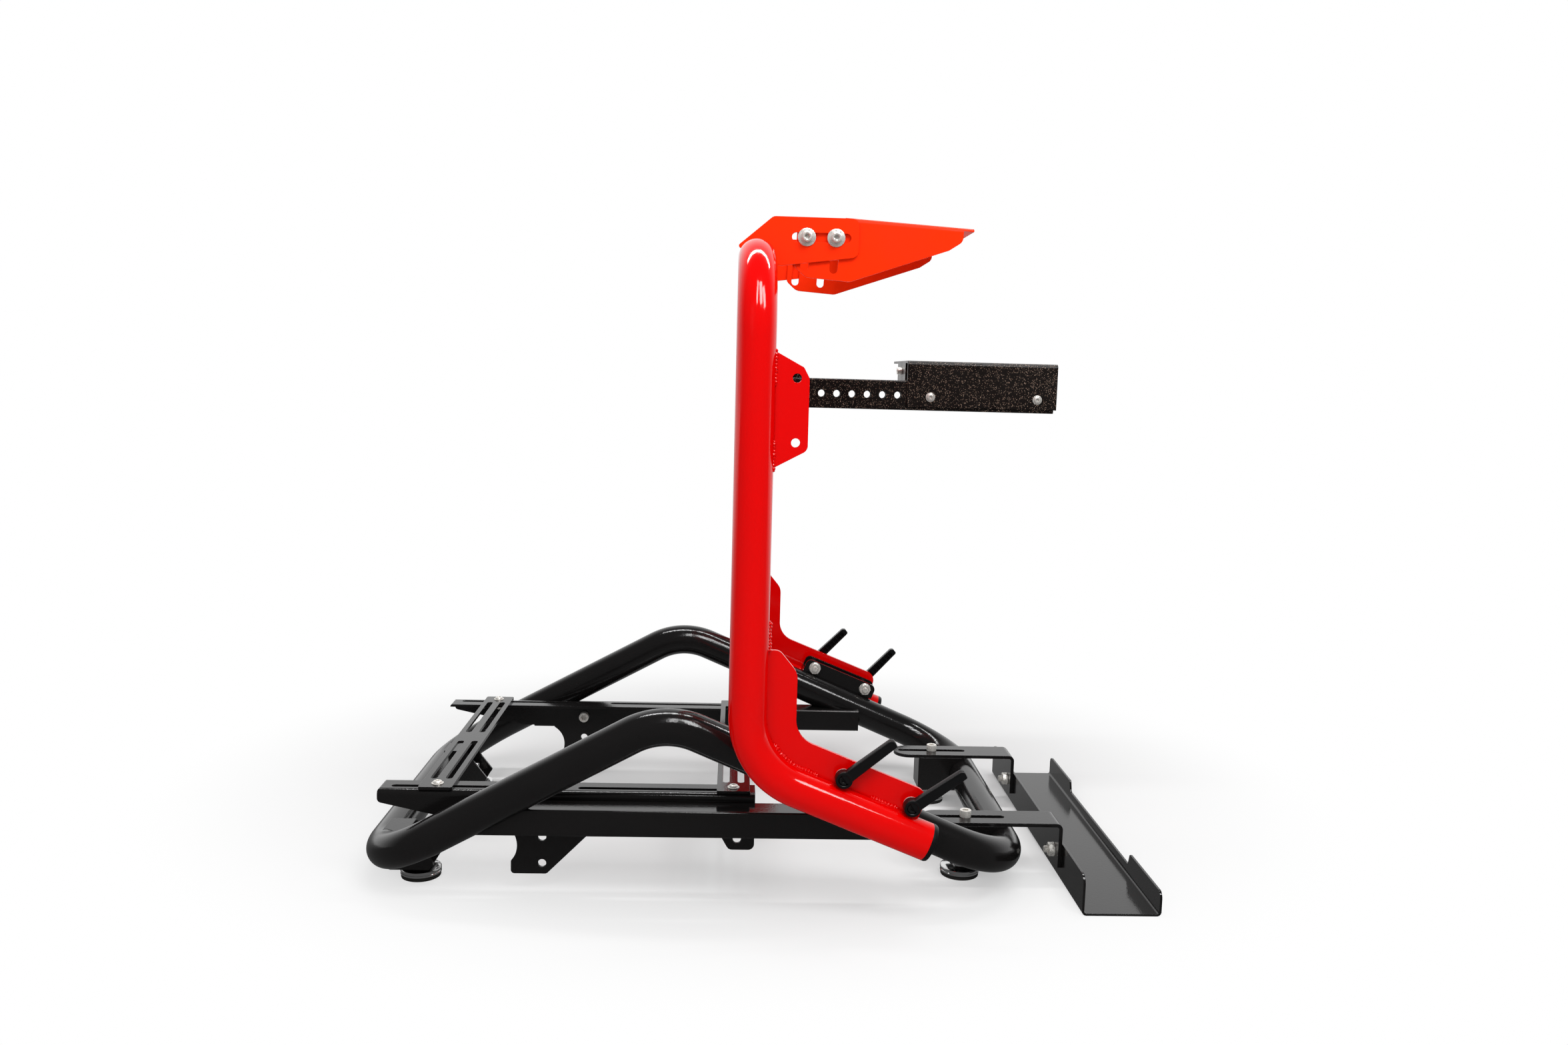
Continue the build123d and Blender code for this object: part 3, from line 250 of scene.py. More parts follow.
@dataclass(frozen=True)
class PlatedSteel:
    """Bright zinc or chrome plate over turned steel: metal with fine drawing lines and a soft mottle.

    Attributes:
        name: Material name.
        colour: Metal colour.
        roughness: Mean roughness.
        line_mm: Distance between turning marks.
        metallic: Share of metal, the rest being the passivation's pale haze.
        mottle_mm: Width of a patch of the mottle.
        mark_depth_mm: Depth of a turning mark.
    """

    name: str
    colour: str
    roughness: float
    line_mm: float
    metallic: float = 1.0
    mottle_mm: float = 4.0
    mark_depth_mm: float = 0.01

    def build(self) -> bpy.types.Material:
        """Makes the material.

        Returns:
            A metal material on Object coordinates.
        """
        material, tree = blank_material(self.name)
        place = add_node(tree, "ShaderNodeTexCoord").outputs["Object"]
        mottle = add_node(
            tree, "ShaderNodeTexNoise", Vector=place, Scale=1 / (self.mottle_mm * MM), Detail=4.0
        )
        lines = add_node(tree, "ShaderNodeTexNoise", Vector=place, Scale=1 / (self.line_mm * MM), Detail=2.0)
        rub = add_node(
            tree, "ShaderNodeMapRange", Value=mottle.outputs[0], in1=0.3, in2=0.7, in3=self.roughness * 0.7,
            in4=self.roughness * 1.4,
        )
        marks = add_node(
            tree, "ShaderNodeBump", Strength=0.5, Distance=self.mark_depth_mm * MM, Height=lines.outputs[0]
        )
        metal = add_node(
            tree, "ShaderNodeBsdfPrincipled", Base_Color=srgb(self.colour), Metallic=self.metallic,
            Roughness=rub.outputs[0], Normal=marks.outputs[0],
        )
        add_node(tree, "ShaderNodeOutputMaterial", Surface=metal.outputs[0])
        return material


@dataclass(frozen=True)
class MouldedPlastic:
    """Nylon or rubber from a spark-eroded mould: a fine dry grain breaks up every highlight.

    Attributes:
        name: Material name.
        colour: Base colour.
        roughness: Mean roughness.
        grain_mm: Distance between grains.
        grain_depth_mm: Height of a grain.
        level: Specular level.
        cloud_mm: Width of a patch of even roughness.
    """

    name: str
    colour: str
    roughness: float
    grain_mm: float
    grain_depth_mm: float
    level: float = 0.3
    cloud_mm: float = 12.0

    def build(self) -> bpy.types.Material:
        """Makes the material.

        Returns:
            A dielectric material on Object coordinates.
        """
        material, tree = blank_material(self.name)
        place = add_node(tree, "ShaderNodeTexCoord").outputs["Object"]
        cloud = add_node(tree, "ShaderNodeTexNoise", Vector=place, Scale=1 / (self.cloud_mm * MM), Detail=3.0)
        grain = add_node(tree, "ShaderNodeTexNoise", Vector=place, Scale=1 / (self.grain_mm * MM), Detail=2.0)
        skin = add_node(
            tree, "ShaderNodeBump", Strength=1.0, Distance=self.grain_depth_mm * MM, Height=grain.outputs[0]
        )
        rub = add_node(
            tree, "ShaderNodeMapRange", Value=cloud.outputs[0], in1=0.3, in2=0.7, in3=self.roughness * 0.85,
            in4=self.roughness * 1.1,
        )
        plastic = add_node(
            tree, "ShaderNodeBsdfPrincipled", Base_Color=srgb(self.colour), Roughness=rub.outputs[0],
            IOR=1.52, Specular_IOR_Level=self.level, Normal=skin.outputs[0],
        )
        add_node(tree, "ShaderNodeOutputMaterial", Surface=plastic.outputs[0])
        return material


# Glossy black powder: dark sides, with a grainy grey streak where the lamps reflect.
BLACK_GLOSS = PowderCoat(
    "black_gloss_powder_coat", "#100f0f", "#131212", 0.12, peel_mm=2.4, peel_depth_mm=0.1
)
# Signal red powder with a wet look: broad pale highlights with a slight ripple.
RED_GLOSS = PowderCoat(
    "red_gloss_powder_coat", "#d60000", "#cf0000", 0.08, peel_mm=4.0, peel_depth_mm=0.05
)
# Orange-red satin powder on the deck and its cheeks: flat-looking, hardly any reflection.
ORANGE_SATIN = PowderCoat(
    "orange_red_powder_coat", "#f42e00", "#e82800", 0.4, peel_mm=1.4, peel_depth_mm=0.04, level=0.08
)
# Coarse black texture powder: every grain catches its own point of light, and light flecks are painted into
# the colour as flakes with painted glints, so the face glitters brown-black.
BLACK_TEXTURE = PowderCoat(
    "black_texture_powder_coat", "#0d0807", "#150e0b", 0.3, peel_mm=3.0, peel_depth_mm=0.05, grain_mm=0.9,
    grain_depth_mm=0.08, sparkle=0.045, level=0.3,
)
# Bright zinc plate on screws, nuts and washers: silver with a faint warm mottle.
ZINC = PlatedSteel("zinc_plated_steel", "#e2dfd9", 0.3, line_mm=0.35, metallic=0.6)
# Turned and chromed feet: nearly a mirror, with turning rings.
CHROME = PlatedSteel("chrome_plated_steel", "#dadada", 0.12, line_mm=0.5)
# Glass-filled nylon of levers and caps: dry black with a soft sheen.
NYLON = MouldedPlastic("black_nylon", "#0d0d0e", 0.34, grain_mm=0.6, grain_depth_mm=0.03)
# Rubber sole: matt and slightly grey.
RUBBER = MouldedPlastic("black_rubber", "#252422", 0.7, grain_mm=0.8, grain_depth_mm=0.05)


class Finishes:
    """Builds each finish once and hands out the material that goes with a material slot of the record."""

    BY_SLOT = {
        "black_gloss_paint": BLACK_GLOSS,
        "red_gloss_paint": RED_GLOSS,
        "orange_red_paint": ORANGE_SATIN,
        "black_texture_paint": BLACK_TEXTURE,
        "zinc_steel": ZINC,
        "chrome": CHROME,
        "black_plastic": NYLON,
        "rubber": RUBBER,
    }

    def __init__(self) -> None:
        """Makes all materials."""
        self.materials = {slot: finish.build() for slot, finish in self.BY_SLOT.items()}

    def dress(self, piece: bpy.types.Object, slot: str) -> None:
        """Puts a slot's material in every material slot of a piece.

        Args:
            piece: CAD node or new piece.
            slot: Material slot of the record.
        """
        if not piece.material_slots:
            piece.data.materials.append(self.materials[slot])
        for place in piece.material_slots:
            place.material = self.materials[slot]


# ------------------------------------------------------------------ shapes
@dataclass
class Shell:
    """Closed surface in the stand's millimetres.

    Attributes:
        points: (n, 3) corner positions.
        faces: Corner numbers of each face, anticlockwise from outside.
    """

    points: np.ndarray
    faces: list[tuple[int, ...]]

    def placed(self, axis: tuple[float, float, float], place: tuple[float, float, float]) -> Shell:
        """Stands the shell, drawn about +Z, along an axis at a place.

        Args:
            axis: Unit direction that the shell's +Z takes.
            place: Where the shell's origin goes.

        Returns:
            The moved shell.
        """
        upward = np.array(axis, float)
        aside = np.cross(upward, (0.0, 0.0, 1.0) if abs(upward[2]) < 0.9 else (1.0, 0.0, 0.0))
        aside /= np.linalg.norm(aside)
        turn = np.column_stack([aside, np.cross(upward, aside), upward])
        return Shell(self.points @ turn.T + np.array(place), self.faces)

    def mirrored(self) -> Shell:
        """Twin beyond the middle plane, its faces reversed so that they still point outwards."""
        return Shell(self.points * np.array([1.0, -1.0, 1.0]), [face[::-1] for face in self.faces])

    def both_sides(self) -> list[Shell]:
        """This shell and its twin."""
        return [self, self.mirrored()]


def joined(shells: list[Shell]) -> Shell:
    """Puts several shells in one.

    Args:
        shells: Shells, each with its own corners.

    Returns:
        One shell with all corners and faces.
    """
    starts = np.cumsum([0] + [len(shell.points) for shell in shells])
    faces = [
        tuple(int(corner + start) for corner in face)
        for shell, start in zip(shells, starts)
        for face in shell.faces
    ]
    return Shell(np.concatenate([shell.points for shell in shells]), faces)


def grid_shell(grid: np.ndarray, ring: bool) -> Shell:
    """Skins a grid of sections, each a closed line of points.

    The face between sections i and i+1 and points j and j+1 has those four corners. An open row of sections
    is closed at both ends by a fan to that section's mean. A ring joins its last section to the first.

    Args:
        grid: (sections, points, 3) positions, anticlockwise about the direction in which the sections follow.
        ring: Whether the sections close on themselves.

    Returns:
        A closed shell.
    """
    sections, count = grid.shape[:2]
    row = np.arange(sections if ring else sections - 1)[:, None] + np.zeros(count, int)
    column = np.arange(count) + np.zeros((row.shape[0], 1), int)
    after = (row + 1) % sections
    beside = (column + 1) % count
    quads = np.stack(
        [row * count + column, row * count + beside, after * count + beside, after * count + column], axis=-1
    )
    points = grid.reshape(-1, 3)
    faces = [tuple(face) for face in quads.reshape(-1, 4).tolist()]
    if not ring:
        first = len(points)
        last = (sections - 1) * count
        points = np.concatenate([points, grid[:1].mean(axis=1), grid[-1:].mean(axis=1)])
        step = np.arange(count)
        following = (step + 1) % count
        low = np.stack([np.full(count, first), following, step], axis=-1)
        high = np.stack([np.full(count, first + 1), last + step, last + following], axis=-1)
        faces += [tuple(face) for face in np.concatenate([low, high]).tolist()]
    return Shell(points, faces)


class Station(NamedTuple):
    """Ring of a turned surface.

    Attributes:
        radius: Radius, for a hexagon to the middle of a flat.
        height: Height.
        outline: Cross-section.
        thread: Share of the thread's depth that is cut here.
    """

    radius: float
    height: float
    outline: Outline = Outline.ROUND
    thread: float = 0.0


def turned(
    stations: list[tuple], steps: int = 48, pitch: float = 1.0, depth: float = 0.0, ring: bool = False
) -> Shell:
    """Surface turned about +Z.

    At height z the radius is the station's own, divided for a hexagon by the cosine of the angle to the
    middle of the nearest flat. A thread takes off depth times half of one plus the cosine of a full turn
    times z over pitch, less the angle.

    Args:
        stations: Values of a Station for each ring, from the lowest pole up round the outside.
        steps: Points round the axis.
        pitch: Height of one thread turn.
        depth: Depth of the thread.
        ring: Whether the last station joins the first, as in a washer.

    Returns:
        A closed shell.
    """
    rings = [Station(*values) for values in stations]
    rows = np.array([(at.radius, at.height, at.outline.value, at.thread) for at in rings])
    angle = np.linspace(0, 2 * np.pi, steps, endpoint=False)
    flat = np.cos(np.mod(angle, np.pi / 3) - np.pi / 6)
    radius = rows[:, :1] * np.where(rows[:, 2:3] > 0, 1 / flat, 1.0)
    wave = 0.5 + 0.5 * np.cos(2 * np.pi * rows[:, 1:2] / pitch - angle)
    radius = radius - depth * rows[:, 3:4] * wave
    height = rows[:, 1:2] + np.zeros(steps)
    return grid_shell(np.stack([radius * np.cos(angle), radius * np.sin(angle), height], axis=-1), ring)


def threaded(radius: float, low: float, high: float, pitch: float) -> list[tuple]:
    """Rings of a thread.

    Args:
        radius: Outer radius.
        low: Height of the first ring.
        high: Height that the rings stay below.
        pitch: Height of one turn.

    Returns:
        Stations, RINGS_PER_TURN to a turn.
    """
    heights = np.arange(low, high, pitch / RINGS_PER_TURN)
    return [(radius, float(height), Outline.ROUND, 1.0) for height in heights]


def rounded_route(corners: np.ndarray, radius: float, ring: bool, degrees: float = 2.5) -> np.ndarray:
    """Straight runs joined by arcs.

    The arc at a corner starts radius times the tangent of half the turn before it, and runs about a centre
    that lies square to the run on the inside of the bend.

    Args:
        corners: (n, 3) corner positions.
        radius: Radius of every bend.
        ring: Whether the route closes on itself.
        degrees: Turn between two points on an arc.

    Returns:
        (m, 3) points along the route.
    """
    count = len(corners)
    pieces = [] if ring else [corners[:1]]
    for index in range(count) if ring else range(1, count - 1):
        corner = corners[index]
        arriving = corner - corners[index - 1]
        leaving = corners[(index + 1) % count] - corner
        arriving = arriving / np.linalg.norm(arriving)
        leaving = leaving / np.linalg.norm(leaving)
        turn = math.acos(float(arriving @ leaving))
        start = corner - arriving * radius * math.tan(turn / 2)
        inward = leaving - arriving * float(arriving @ leaving)
        inward = inward / np.linalg.norm(inward)
        angle = np.linspace(0, turn, max(3, int(math.degrees(turn) / degrees)))[:, None]
        pieces.append(start + inward * radius * (1 - np.cos(angle)) + arriving * radius * np.sin(angle))
    return np.concatenate(pieces + ([] if ring else [corners[-1:]]))


def carried(profile: np.ndarray, route: np.ndarray, ring: bool, scale: np.ndarray | None = None) -> Shell:
    """Carries a closed profile along a route.

    Each section is the route's point plus the profile's first number times a side direction plus its second
    times an upward one. The side direction is handed on from section to section and kept square to the route,
    and on a ring what it has turned by is taken back evenly.

    Args:
        profile: (n, 2) profile, anticlockwise.
        route: (m, 3) points.
        ring: Whether the route closes on itself.
        scale: Size of the profile at each point, or None for 1.

    Returns:
        A closed shell.
    """
    ahead = np.roll(route, -1, axis=0) - np.roll(route, 1, axis=0)
    if not ring:
        ahead[0] = route[1] - route[0]
        ahead[-1] = route[-1] - route[-2]
    ahead /= np.linalg.norm(ahead, axis=1)[:, None]
    aside = np.zeros_like(route)
    side = np.cross(ahead[0], (0.0, 0.0, 1.0) if abs(ahead[0][2]) < 0.9 else (1.0, 0.0, 0.0))
    for index, direction in enumerate(ahead):
        side = side - direction * float(side @ direction)
        side = side / np.linalg.norm(side)
        aside[index] = side
    upward = np.cross(ahead, aside)
    if ring:
        closing = aside[-1] - ahead[0] * float(aside[-1] @ ahead[0])
        twist = math.atan2(float(closing @ upward[0]), float(closing @ aside[0]))
        back = -twist * np.linspace(0, 1, len(route), endpoint=False)[:, None]
        aside, upward = (
            aside * np.cos(back) + upward * np.sin(back),
            upward * np.cos(back) - aside * np.sin(back),
        )
    size = np.ones(len(route)) if scale is None else scale
    grid = route[:, None] + size[:, None, None] * (
        profile[None, :, :1] * aside[:, None] + profile[None, :, 1:] * upward[:, None]
    )
    return grid_shell(grid, ring)


def circle(radius: float, steps: int) -> np.ndarray:
    """Round profile.

    Args:
        radius: Radius.
        steps: Points round it.

    Returns:
        (steps, 2) points, anticlockwise.
    """
    angle = np.linspace(0, 2 * np.pi, steps, endpoint=False)
    return radius * np.stack([np.cos(angle), np.sin(angle)], axis=-1)


def rounded_polygon(corners: list[tuple[float, float]], radius: float, count: int) -> np.ndarray:
    """Convex polygon with rounded corners, in evenly spaced points.

    Args:
        corners: Corners, anticlockwise.
        radius: Corner radius.
        count: Number of points.

    Returns:
        (count, 2) points, anticlockwise.
    """
    flat = np.array([(*corner, 0.0) for corner in corners])
    line = rounded_route(flat, radius, ring=True, degrees=15.0)[:, :2]
    closed = np.concatenate([line, line[:1]])
    along = np.concatenate([[0.0], np.cumsum(np.linalg.norm(np.diff(closed, axis=0), axis=1))])
    places = np.linspace(0, along[-1], count, endpoint=False)
    return np.stack([np.interp(places, along, closed[:, 0]), np.interp(places, along, closed[:, 1])], axis=-1)


@dataclass
class Workshop:
    """Turns shells into dressed pieces that ride on the frame's bodies.

    Attributes:
        datum: Place of the stand's axes in the frame.
        finishes: Materials by slot.
        body_of: Body name by node name.
        slot_of: Material slot by node name.
    """

    datum: Datum
    finishes: Finishes
    body_of: dict[str, str]
    slot_of: dict[str, str]

    def add(self, name: str, shell: Shell, body: str, slot: str, replaced: tuple[str, ...] = ()) -> None:
        """Makes a smooth-shaded piece.

        Args:
            name: Piece name.
            shell: Its closed surface.
            body: Body that it rides on.
            slot: Material slot of the record.
            replaced: CAD nodes that it stands for.
        """
        mesh = bpy.data.meshes.new(name)
        mesh.from_pydata(self.datum.points(shell.points).tolist(), [], shell.faces)
        mesh.validate()
        mesh.shade_smooth()
        mesh.set_sharp_from_angle(angle=math.radians(SHARP_DEG))
        piece = bpy.data.objects.new(name, mesh)
        bpy.context.scene.collection.objects.link(piece)
        self.finishes.dress(piece, slot)
        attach(piece, body)
        if replaced:
            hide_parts(*replaced)
        LOG.info("%s: %d faces on %s", name, len(shell.faces), body)

    def stand_in(self, node: str, shells: list[Shell], ending: str) -> None:
        """Makes a piece that stands for one CAD node, on its body and in its finish.

        Args:
            node: CAD node.
            shells: Surfaces of the piece.
            ending: Word added to the node's name.
        """
        self.add(f"{node}_{ending}", joined(shells), self.body_of[node], self.slot_of[node], (node,))


# ------------------------------------------------------------------ studio
@dataclass
class Studio:
    """Camera, pale floor and soft lamps.

    Attributes:
        lens_mm: Focal length on a 36 mm sensor.
        eye: Camera position in the stand's millimetres.
        yaw: Turn of the view from +Y towards +X, in degrees.
        pitch: Downward tilt in degrees.
        roll: Roll in degrees.
        floor_colour: Colour of the floor's matt share.
        floor_reach: Half length of the floor, in metres.
        floor_glow: Glowing share of the floor under the stand.
        oval_shift: Move of the floor's oval, in metres after the squeeze.
        oval_squeeze: Scale of a place on the floor before its length is taken.
        oval_range: Lengths, in metres, between which the glow rises to 1.
        dark_range: Frame Y, in metres, between which the floor's reflection rises from the room to white.
        sky: Strength of the sky that lights the stand.
        sky_lean: Direction towards which the sky's reflection grows white.
        sky_range: Shares of that direction between which it rises from the room to white.
        room: Strength of the dark side of the room, behind the camera, in reflections.
        panel_watts: Power of the panels, for each metre of width.
    """

    lens_mm: float = 28.271
    eye: tuple[float, float, float] = (384.5, -1801.3, 690.5)
    yaw: float = 2.31665
    pitch: float = 6.87990
    roll: float = 1.56306
    floor_colour: str = "#cdcdcd"
    floor_reach: float = 30.0
    floor_glow: float = 0.22
    oval_shift: tuple[float, float, float] = (0.0, -0.26, 0.0)
    oval_squeeze: tuple[float, float, float] = (1.15, 1.35, 1.0)
    oval_range: tuple[float, float] = (0.42, 1.15)
    dark_range: tuple[float, float] = (-0.2, 2.5)
    sky: float = 0.5
    sky_lean: tuple[float, float, float] = (0.0, 1.0, -0.45)
    sky_range: tuple[float, float] = (-0.3, 0.7)
    room: float = 0.1
    panel_watts: float = 38.0

    def camera(self, datum: Datum) -> None:
        """Sets the camera up from its yaw, pitch and roll.

        Args:
            datum: Place of the stand's axes in the frame.
        """
        yaw, pitch, roll = (math.radians(angle) for angle in (self.yaw, self.pitch, self.roll))
        ahead = np.array(
            [math.sin(yaw) * math.cos(pitch), math.cos(yaw) * math.cos(pitch), -math.sin(pitch)]
        )
        level = np.array([math.cos(yaw), -math.sin(yaw), 0.0])
        upward = np.cross(level, ahead)
        right = math.cos(roll) * level + math.sin(roll) * upward
        top = -math.sin(roll) * level + math.cos(roll) * upward
        data = bpy.data.cameras.new("camera")
        data.lens = self.lens_mm
        data.sensor_width = 36.0
        data.clip_start = 0.05
        data.clip_end = 60.0
        camera = bpy.data.objects.new("camera", data)
        turn = Matrix([list(row) for row in np.column_stack([right, top, -ahead])]).to_4x4()
        camera.matrix_world = Matrix.Translation(datum.point(*self.eye)) @ turn
        bpy.context.scene.collection.objects.link(camera)
        bpy.context.scene.camera = camera

    def lamp(self, name: str, place: tuple[float, float, float], aim: tuple[float, float, float],
             size: tuple[float, float], power: float, mirrored: bool = True) -> None:
        """Adds a rectangular soft box.

        Args:
            name: Object name.
            place: Position in metres.
            aim: Point that it faces, in metres.
            size: Width and height in metres.
            power: Power in watts.
            mirrored: Whether it shows in reflections.
        """
        data = bpy.data.lights.new(name, "AREA")
        data.shape = "RECTANGLE"
        data.size, data.size_y = size
        data.energy = power
        lamp = bpy.data.objects.new(name, data)
        back = Matrix.Translation(place)
        away = (back.translation - Matrix.Translation(aim).translation).normalized()
        lamp.matrix_world = back @ away.to_track_quat("Z", "Y").to_matrix().to_4x4()
        lamp.visible_glossy = mirrored
        bpy.context.scene.collection.objects.link(lamp)

    def floor(self) -> None:
        """Lays a pale floor that keeps the soft shadow near the stand and glows to white away from it.

        The glow's share follows the length of the place on the floor, squeezed to an oval about the stand.
        Reflections see the glow alone, and its strength rises with the place's Y from the dark room to white.
        """
        reach = self.floor_reach
        mesh = bpy.data.meshes.new("floor")
        corners = [(-reach, -reach, 0), (reach, -reach, 0), (reach, reach, 0), (-reach, reach, 0)]
        mesh.from_pydata(corners, [], [(0, 1, 2, 3)])
        floor = bpy.data.objects.new("floor", mesh)
        bpy.context.scene.collection.objects.link(floor)
        material, tree = blank_material("pale_studio_floor")
        matt = add_node(tree, "ShaderNodeBsdfDiffuse", Color=srgb(self.floor_colour))
        path = add_node(tree, "ShaderNodeLightPath")
        seen = self.seen_rays(tree, path)
        place = add_node(tree, "ShaderNodeTexCoord").outputs["Object"]
        oval = add_node(
            tree, "ShaderNodeMapping", Vector=place, Location=self.oval_shift, Scale=self.oval_squeeze
        )
        away = add_node(tree, "ShaderNodeVectorMath", {"operation": "LENGTH"}, in0=oval.outputs[0])
        clear = add_node(
            tree, "ShaderNodeMapRange", {"interpolation_type": "SMOOTHSTEP"}, Value=away.outputs["Value"],
            in1=self.oval_range[0], in2=self.oval_range[1], in3=self.floor_glow, in4=1.0,
        )
        full = add_node(
            tree, "ShaderNodeMath", {"operation": "MAXIMUM"}, in0=clear.outputs[0],
            in1=path.outputs["Is Glossy Ray"],
        )
        share = add_node(tree, "ShaderNodeMath", {"operation": "MULTIPLY"}, in0=seen, in1=full.outputs[0])
        depth = add_node(
            tree, "ShaderNodeMapRange", Value=add_node(tree, "ShaderNodeSeparateXYZ", in0=place).outputs["Y"],
            in1=self.dark_range[0], in2=self.dark_range[1], in3=self.room, in4=1.0,
        )
        glow = add_node(
            tree, "ShaderNodeEmission", Color=srgb("#ffffff"),
            Strength=self.dimmed_in_mirrors(tree, path, depth.outputs[0]),
        )
        mixed = add_node(
            tree, "ShaderNodeMixShader", in0=share.outputs[0], in1=matt.outputs[0], in2=glow.outputs[0]
        )
        add_node(tree, "ShaderNodeOutputMaterial", Surface=mixed.outputs[0])
        mesh.materials.append(material)

    @staticmethod
    def seen_rays(tree: bpy.types.NodeTree, path: bpy.types.Node) -> bpy.types.NodeSocket:
        """Adds up the ray kinds that show the background.

        Args:
            tree: Tree that takes the nodes.
            path: Light Path node.

        Returns:
            Output that is 1 for camera, glossy and transmission rays.
        """
        pair = add_node(
            tree, "ShaderNodeMath", {"operation": "MAXIMUM"}, in0=path.outputs["Is Camera Ray"],
            in1=path.outputs["Is Glossy Ray"],
        )
        return add_node(
            tree, "ShaderNodeMath", {"operation": "MAXIMUM"}, in0=pair.outputs[0],
            in1=path.outputs["Is Transmission Ray"],
        ).outputs[0]

    @staticmethod
    def dimmed_in_mirrors(
        tree: bpy.types.NodeTree, path: bpy.types.Node, lit: bpy.types.NodeSocket
    ) -> bpy.types.NodeSocket:
        """Dims a strength of 1 in reflections alone: one plus the glossy share times the light less one.

        Args:
            tree: Tree that takes the nodes.
            path: Light Path node.
            lit: Strength that reflections see.

        Returns:
            Output with the strength.
        """
        less = add_node(tree, "ShaderNodeMath", {"operation": "SUBTRACT"}, in0=lit, in1=1.0)
        return add_node(
            tree, "ShaderNodeMath", {"operation": "MULTIPLY_ADD"}, in0=path.outputs["Is Glossy Ray"],
            in1=less.outputs[0], in2=1.0,
        ).outputs[0]

    def world(self) -> None:
        """Surrounds the stand with white for the eye and with a plain grey sky for light.

        Reflections see the same white behind the stand, and a dark ceiling and a dark room in front of it:
        the share of white rises with the direction's Y and falls with its Z.
        """
        world = bpy.data.worlds.new("studio")
        world.use_nodes = True
        tree = world.node_tree
        tree.nodes.clear()
        path = add_node(tree, "ShaderNodeLightPath")
        seen = self.seen_rays(tree, path)
        dim = add_node(tree, "ShaderNodeBackground", Color=srgb("#ffffff"), Strength=self.sky)
        toward = add_node(tree, "ShaderNodeTexCoord").outputs["Generated"]
        lean = add_node(
            tree, "ShaderNodeVectorMath", {"operation": "DOT_PRODUCT"}, in0=toward, in1=self.sky_lean
        )
        lit = add_node(
            tree, "ShaderNodeMapRange", {"interpolation_type": "SMOOTHSTEP"}, Value=lean.outputs["Value"],
            in1=self.sky_range[0], in2=self.sky_range[1], in3=self.room, in4=1.0,
        )
        white = add_node(
            tree, "ShaderNodeBackground", Color=srgb("#ffffff"),
            Strength=self.dimmed_in_mirrors(tree, path, lit.outputs[0]),
        )
        mixed = add_node(tree, "ShaderNodeMixShader", in0=seen, in1=dim.outputs[0], in2=white.outputs[0])
        add_node(tree, "ShaderNodeOutputWorld", Surface=mixed.outputs[0])
        bpy.context.scene.world = world

    def build(self, datum: Datum) -> None:
        """Makes the whole studio.

        Args:
            datum: Place of the stand's axes in the frame.
        """
        self.camera(datum)
        self.floor()
        self.world()
        self.lamp("overhead_strip", (0.1, 0.3, 2.1), (0.1, 0.0, 0.3), (2.2, 0.16), 26.0)
        panels = (("left_panel", -0.05, 0.2), ("middle_panel", 0.5, 0.42), ("right_panel", 1.15, 0.42))
        for name, x, wide in panels:
            self.lamp(name, (x, -1.45, 2.15), (0.1, -0.35, 0.4), (wide, 0.9), self.panel_watts * wide)
        self.lamp("front_box", (-1.3, -2.8, 1.7), (0.0, 0.0, 0.4), (1.2, 1.6), 21.0, mirrored=False)
        bpy.context.scene.view_settings.view_transform = "Standard"


# ------------------------------------------------------------------ places
@dataclass(frozen=True)
class Datum:
    """Place of the stand's own axes in the frame.

    Attributes:
        x: Frame X of the front pedal plate's middle, in metres.
        y: Frame Y of the middle plane, in metres.
    """

    x: float
    y: float

    @classmethod
    def read(cls) -> Datum:
        """Finds the axes from the front pedal plate, which lies on both.

        Returns:
            The stand's datum.
        """
        low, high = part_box("front_pedal_plate")
        return cls((low.x + high.x) / 2, (low.y + high.y) / 2)

    def point(self, x: float, y: float, z: float) -> tuple[float, float, float]:
        """Frame position in metres of a point in the stand's millimetres."""
        return (x * MM + self.x, y * MM + self.y, z * MM)

    def points(self, places: np.ndarray) -> np.ndarray:
        """Frame positions in metres of an (n, 3) array in the stand's millimetres."""
        return places * MM + np.array([self.x, self.y, 0.0])


